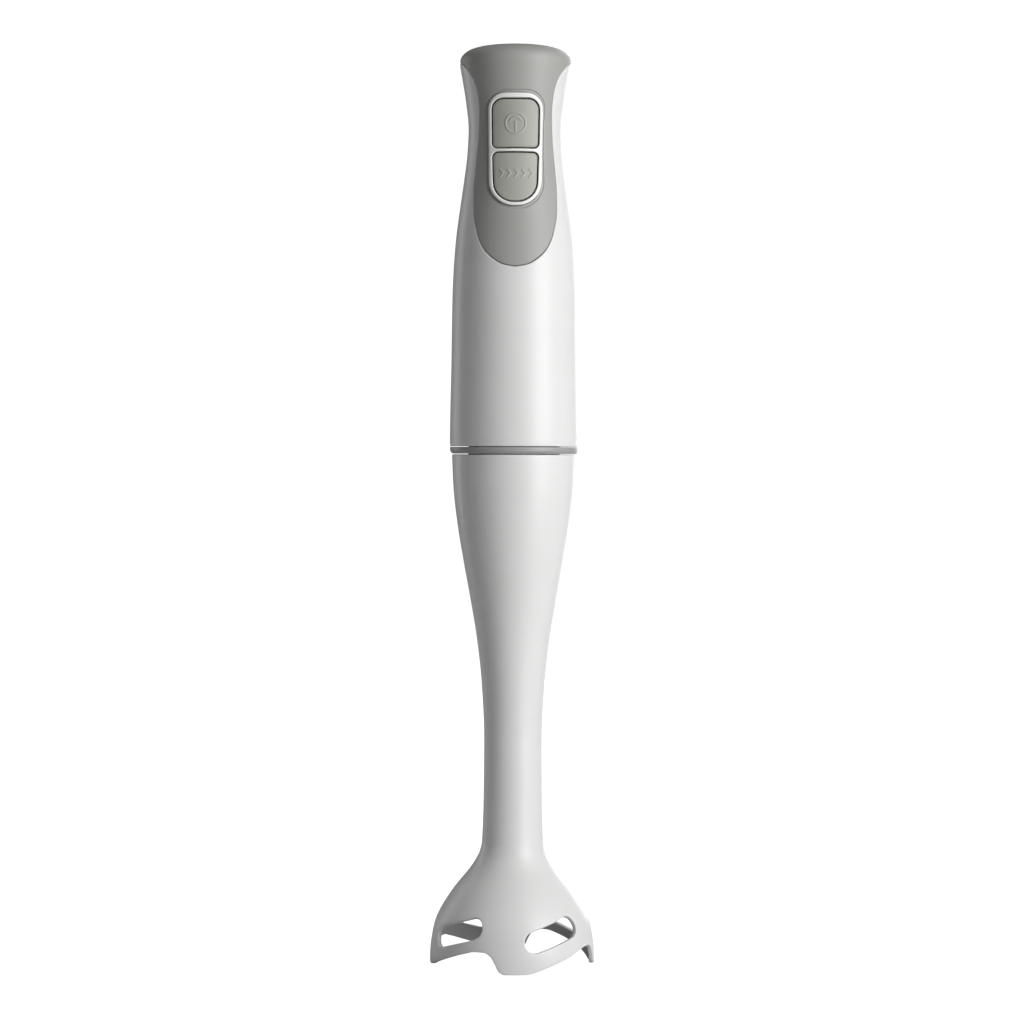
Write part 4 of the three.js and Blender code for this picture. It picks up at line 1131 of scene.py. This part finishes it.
def finish(slot_name):
    """The material for one of the record's slots, made the first time it is asked for."""
    name = "finish_" + slot_name
    found = bpy.data.materials.get(name)
    if found:
        return found
    kind, colour, roughness, grain_size, grain_depth = FINISHES[slot_name]
    if colour is None:
        colour = tuple(getattr(bpy.context.scene.blender_finish, SCENE_COLOURS[slot_name]))
    metal = kind == "brushed"
    material = bpy.data.materials.new(name)
    material.use_nodes = True
    nodes, links = material.node_tree.nodes, material.node_tree.links
    shader = nodes["Principled BSDF"]
    place = nodes.new("ShaderNodeTexCoord")
    surface = nodes.new("ShaderNodeGroup")
    if metal:
        surface.node_tree = surface_group("Brushed Metal", (1.0, 1.0, 0.06))
    else:
        surface.node_tree = surface_group("Moulded Plastic", (1.0, 1.0, 1.0))
    surface.inputs["Colour"].default_value = (*colour, 1.0)
    surface.inputs["Grain Size"].default_value = grain_size
    surface.inputs["Roughness"].default_value = roughness
    surface.inputs["Tone Range"].default_value = 0.1 if metal else 0.025
    links.new(place.outputs["Object"], surface.inputs["Position"])
    links.new(surface.outputs["Colour"], shader.inputs["Base Color"])
    links.new(surface.outputs["Roughness"], shader.inputs["Roughness"])
    bump = nodes.new("ShaderNodeBump")
    bump.inputs["Distance"].default_value = grain_depth
    bump.inputs["Strength"].default_value = 1.0
    links.new(surface.outputs["Grain"], bump.inputs["Height"])
    links.new(bump.outputs["Normal"], shader.inputs["Normal"])
    shader.inputs["Metallic"].default_value = 1.0 if metal else 0.0
    if slot_name in ("white_plastic", "bezel_white"):
        shader.inputs["Specular IOR Level"].default_value = 0.45
    return material


class BLENDER_OT_inner_finishes(bpy.types.Operator):
    """Give every part of the frame that stays its own finish"""

    bl_idname = "blender.inner_finishes"
    bl_label = "Inner finishes"

    def execute(self, context):
        for part in frame["record"]["subparts"]:
            node = frame["nodes"][part["node"]]
            material = finish(part["material_slot"])
            if not node.data.materials:
                node.data.materials.append(material)
            for index in range(len(node.material_slots)):
                node.material_slots[index].material = material
        return {"FINISHED"}


def soft_light(name, place, aim, width, height, watts):
    """A large soft light that isn't seen itself."""
    data = bpy.data.lights.new(name, "AREA")
    data.shape = "RECTANGLE"
    data.size, data.size_y = width, height
    data.energy = watts
    lamp = bpy.data.objects.new(name, data)
    bpy.context.scene.collection.objects.link(lamp)
    lamp.location = place
    lamp.rotation_mode = "QUATERNION"
    lamp.rotation_quaternion = (Vector(aim) - Vector(place)).to_track_quat("-Z", "Y")
    lamp.visible_camera = False
    return lamp


def round_about(degrees, distance, level):
    """A point at an angle from the front towards +X."""
    turn = math.radians(degrees)
    return (distance * math.sin(turn), -distance * math.cos(turn), level)


class BLENDER_OT_studio(bpy.types.Operator):
    """Make the pale floor that curves up all round, the soft lights and the camera"""

    bl_idname = "blender.studio"
    bl_label = "Studio"

    def execute(self, context):
        studio = context.scene.blender_studio
        bm = bmesh.new()
        flat, bend, top = 2.6, 1.4, 3.2
        line = [(0.0, 0.0), (flat, 0.0)]
        for degrees in range(10, 91, 10):
            turn = math.radians(degrees)
            line.append((flat + bend * math.sin(turn), bend * (1 - math.cos(turn))))
        line.append((flat + bend, top))
        verts = [bm.verts.new((x, 0, z)) for x, z in line]
        edges = [bm.edges.new(pair) for pair in zip(verts, verts[1:])]
        bmesh.ops.spin(
            bm,
            geom=[*verts, *edges],
            cent=(0, 0, 0),
            axis=(0, 0, 1),
            angle=math.tau,
            steps=96,
            use_merge=True,
            use_duplicate=False,
        )
        bmesh.ops.remove_doubles(bm, verts=bm.verts, dist=1e-5)
        bmesh.ops.recalc_face_normals(bm, faces=bm.faces)
        for face in bm.faces:
            face.smooth = True
        mesh = bpy.data.meshes.new("studio_sweep")
        bm.to_mesh(mesh)
        bm.free()
        sweep = bpy.data.objects.new("studio_sweep", mesh)
        context.scene.collection.objects.link(sweep)
        paint = bpy.data.materials.new("studio_white")
        paint.use_nodes = True
        nodes, links = paint.node_tree.nodes, paint.node_tree.links
        shader = nodes["Principled BSDF"]
        shader.inputs["Base Color"].default_value = (0.55, 0.55, 0.55, 1.0)
        shader.inputs["Roughness"].default_value = 0.9
        shader.inputs["Specular IOR Level"].default_value = 0.1
        shader.inputs["Emission Color"].default_value = (1.0, 1.0, 1.0, 1.0)
        path, level = nodes.new("ShaderNodeLightPath"), nodes.new("ShaderNodeMath")
        level.operation = "MULTIPLY"
        level.inputs[1].default_value = studio.backdrop
        links.new(path.outputs["Is Camera Ray"], level.inputs[0])
        links.new(level.outputs["Value"], shader.inputs["Emission Strength"])
        mesh.materials.append(paint)
        world = bpy.data.worlds.new("studio_room")
        world.use_nodes = True
        context.scene.world = world
        backing = world.node_tree.nodes["Background"]
        backing.inputs["Color"].default_value = (1.0, 1.0, 1.0, 1.0)
        backing.inputs["Strength"].default_value = studio.ambient
        middle, grip = (0, 0, 0.19), (0, 0, 0.3)
        soft_light("key_light", round_about(49, 1.0, 0.45), grip, 0.6, 1.0, studio.key)
        soft_light("rim_light", round_about(-128, 1.3, 0.3), middle, 0.35, 1.1, studio.rim)
        soft_light("back_light", round_about(160, 1.4, 0.45), middle, 0.5, 1.3, studio.back)
        data = bpy.data.cameras.new("studio_camera")
        data.lens = studio.lens
        data.sensor_width = 36.0
        data.clip_start, data.clip_end = 0.01, 50.0
        camera = bpy.data.objects.new("studio_camera", data)
        context.scene.collection.objects.link(camera)
        place = Matrix.Translation((-0.8 * MM, -studio.distance, studio.height))
        tilt = Matrix.Rotation(math.radians(90 - studio.tilt), 4, "X")
        roll = Matrix.Rotation(math.radians(studio.roll), 4, "Z")
        camera.matrix_world = place @ tilt @ roll
        context.scene.camera = camera
        context.scene.view_settings.view_transform = "Standard"
        return {"FINISHED"}


STEPS = (
    BLENDER_OT_motor_housing,
    BLENDER_OT_grip_cover,
    BLENDER_OT_button_bezel,
    BLENDER_OT_buttons,
    BLENDER_OT_trim_ring,
    BLENDER_OT_leg,
    BLENDER_OT_cord_gland,
    BLENDER_OT_cutter,
    BLENDER_OT_inner_finishes,
    BLENDER_OT_studio,
)


class BLENDER_PT_pieces(bpy.types.Panel):
    """Lists the pieces of the blender"""

    bl_idname = "BLENDER_PT_pieces"
    bl_label = "Immersion blender"
    bl_space_type = "VIEW_3D"
    bl_region_type = "UI"
    bl_category = "Blender"

    def draw(self, context):
        for step in STEPS:
            self.layout.operator(step.bl_idname)
        for name, group in GROUPS.items():
            for prop in group.__annotations__:
                self.layout.prop(getattr(context.scene, name), prop)


GROUPS = {
    "blender_sizes": BlenderSizes,
    "blender_finish": BlenderFinish,
    "blender_studio": BlenderStudio,
}


def register():
    """Adds the sizes, the operators and the panel to Blender."""
    for name, group in GROUPS.items():
        bpy.utils.register_class(group)
        setattr(bpy.types.Scene, name, PointerProperty(type=group))
    for step in (*STEPS, BLENDER_PT_pieces):
        bpy.utils.register_class(step)


def unregister():
    """Takes them out again."""
    for step in (BLENDER_PT_pieces, *reversed(STEPS)):
        bpy.utils.unregister_class(step)
    for name, group in GROUPS.items():
        delattr(bpy.types.Scene, name)
        bpy.utils.unregister_class(group)


def main():
    """Makes every piece in order."""
    register()
    bpy.ops.blender.motor_housing()
    bpy.ops.blender.grip_cover()
    bpy.ops.blender.button_bezel()
    bpy.ops.blender.buttons()
    bpy.ops.blender.trim_ring()
    bpy.ops.blender.leg()
    bpy.ops.blender.cord_gland()
    bpy.ops.blender.cutter()
    bpy.ops.blender.inner_finishes()
    bpy.ops.blender.studio()


if __name__ == "__main__":
    main()
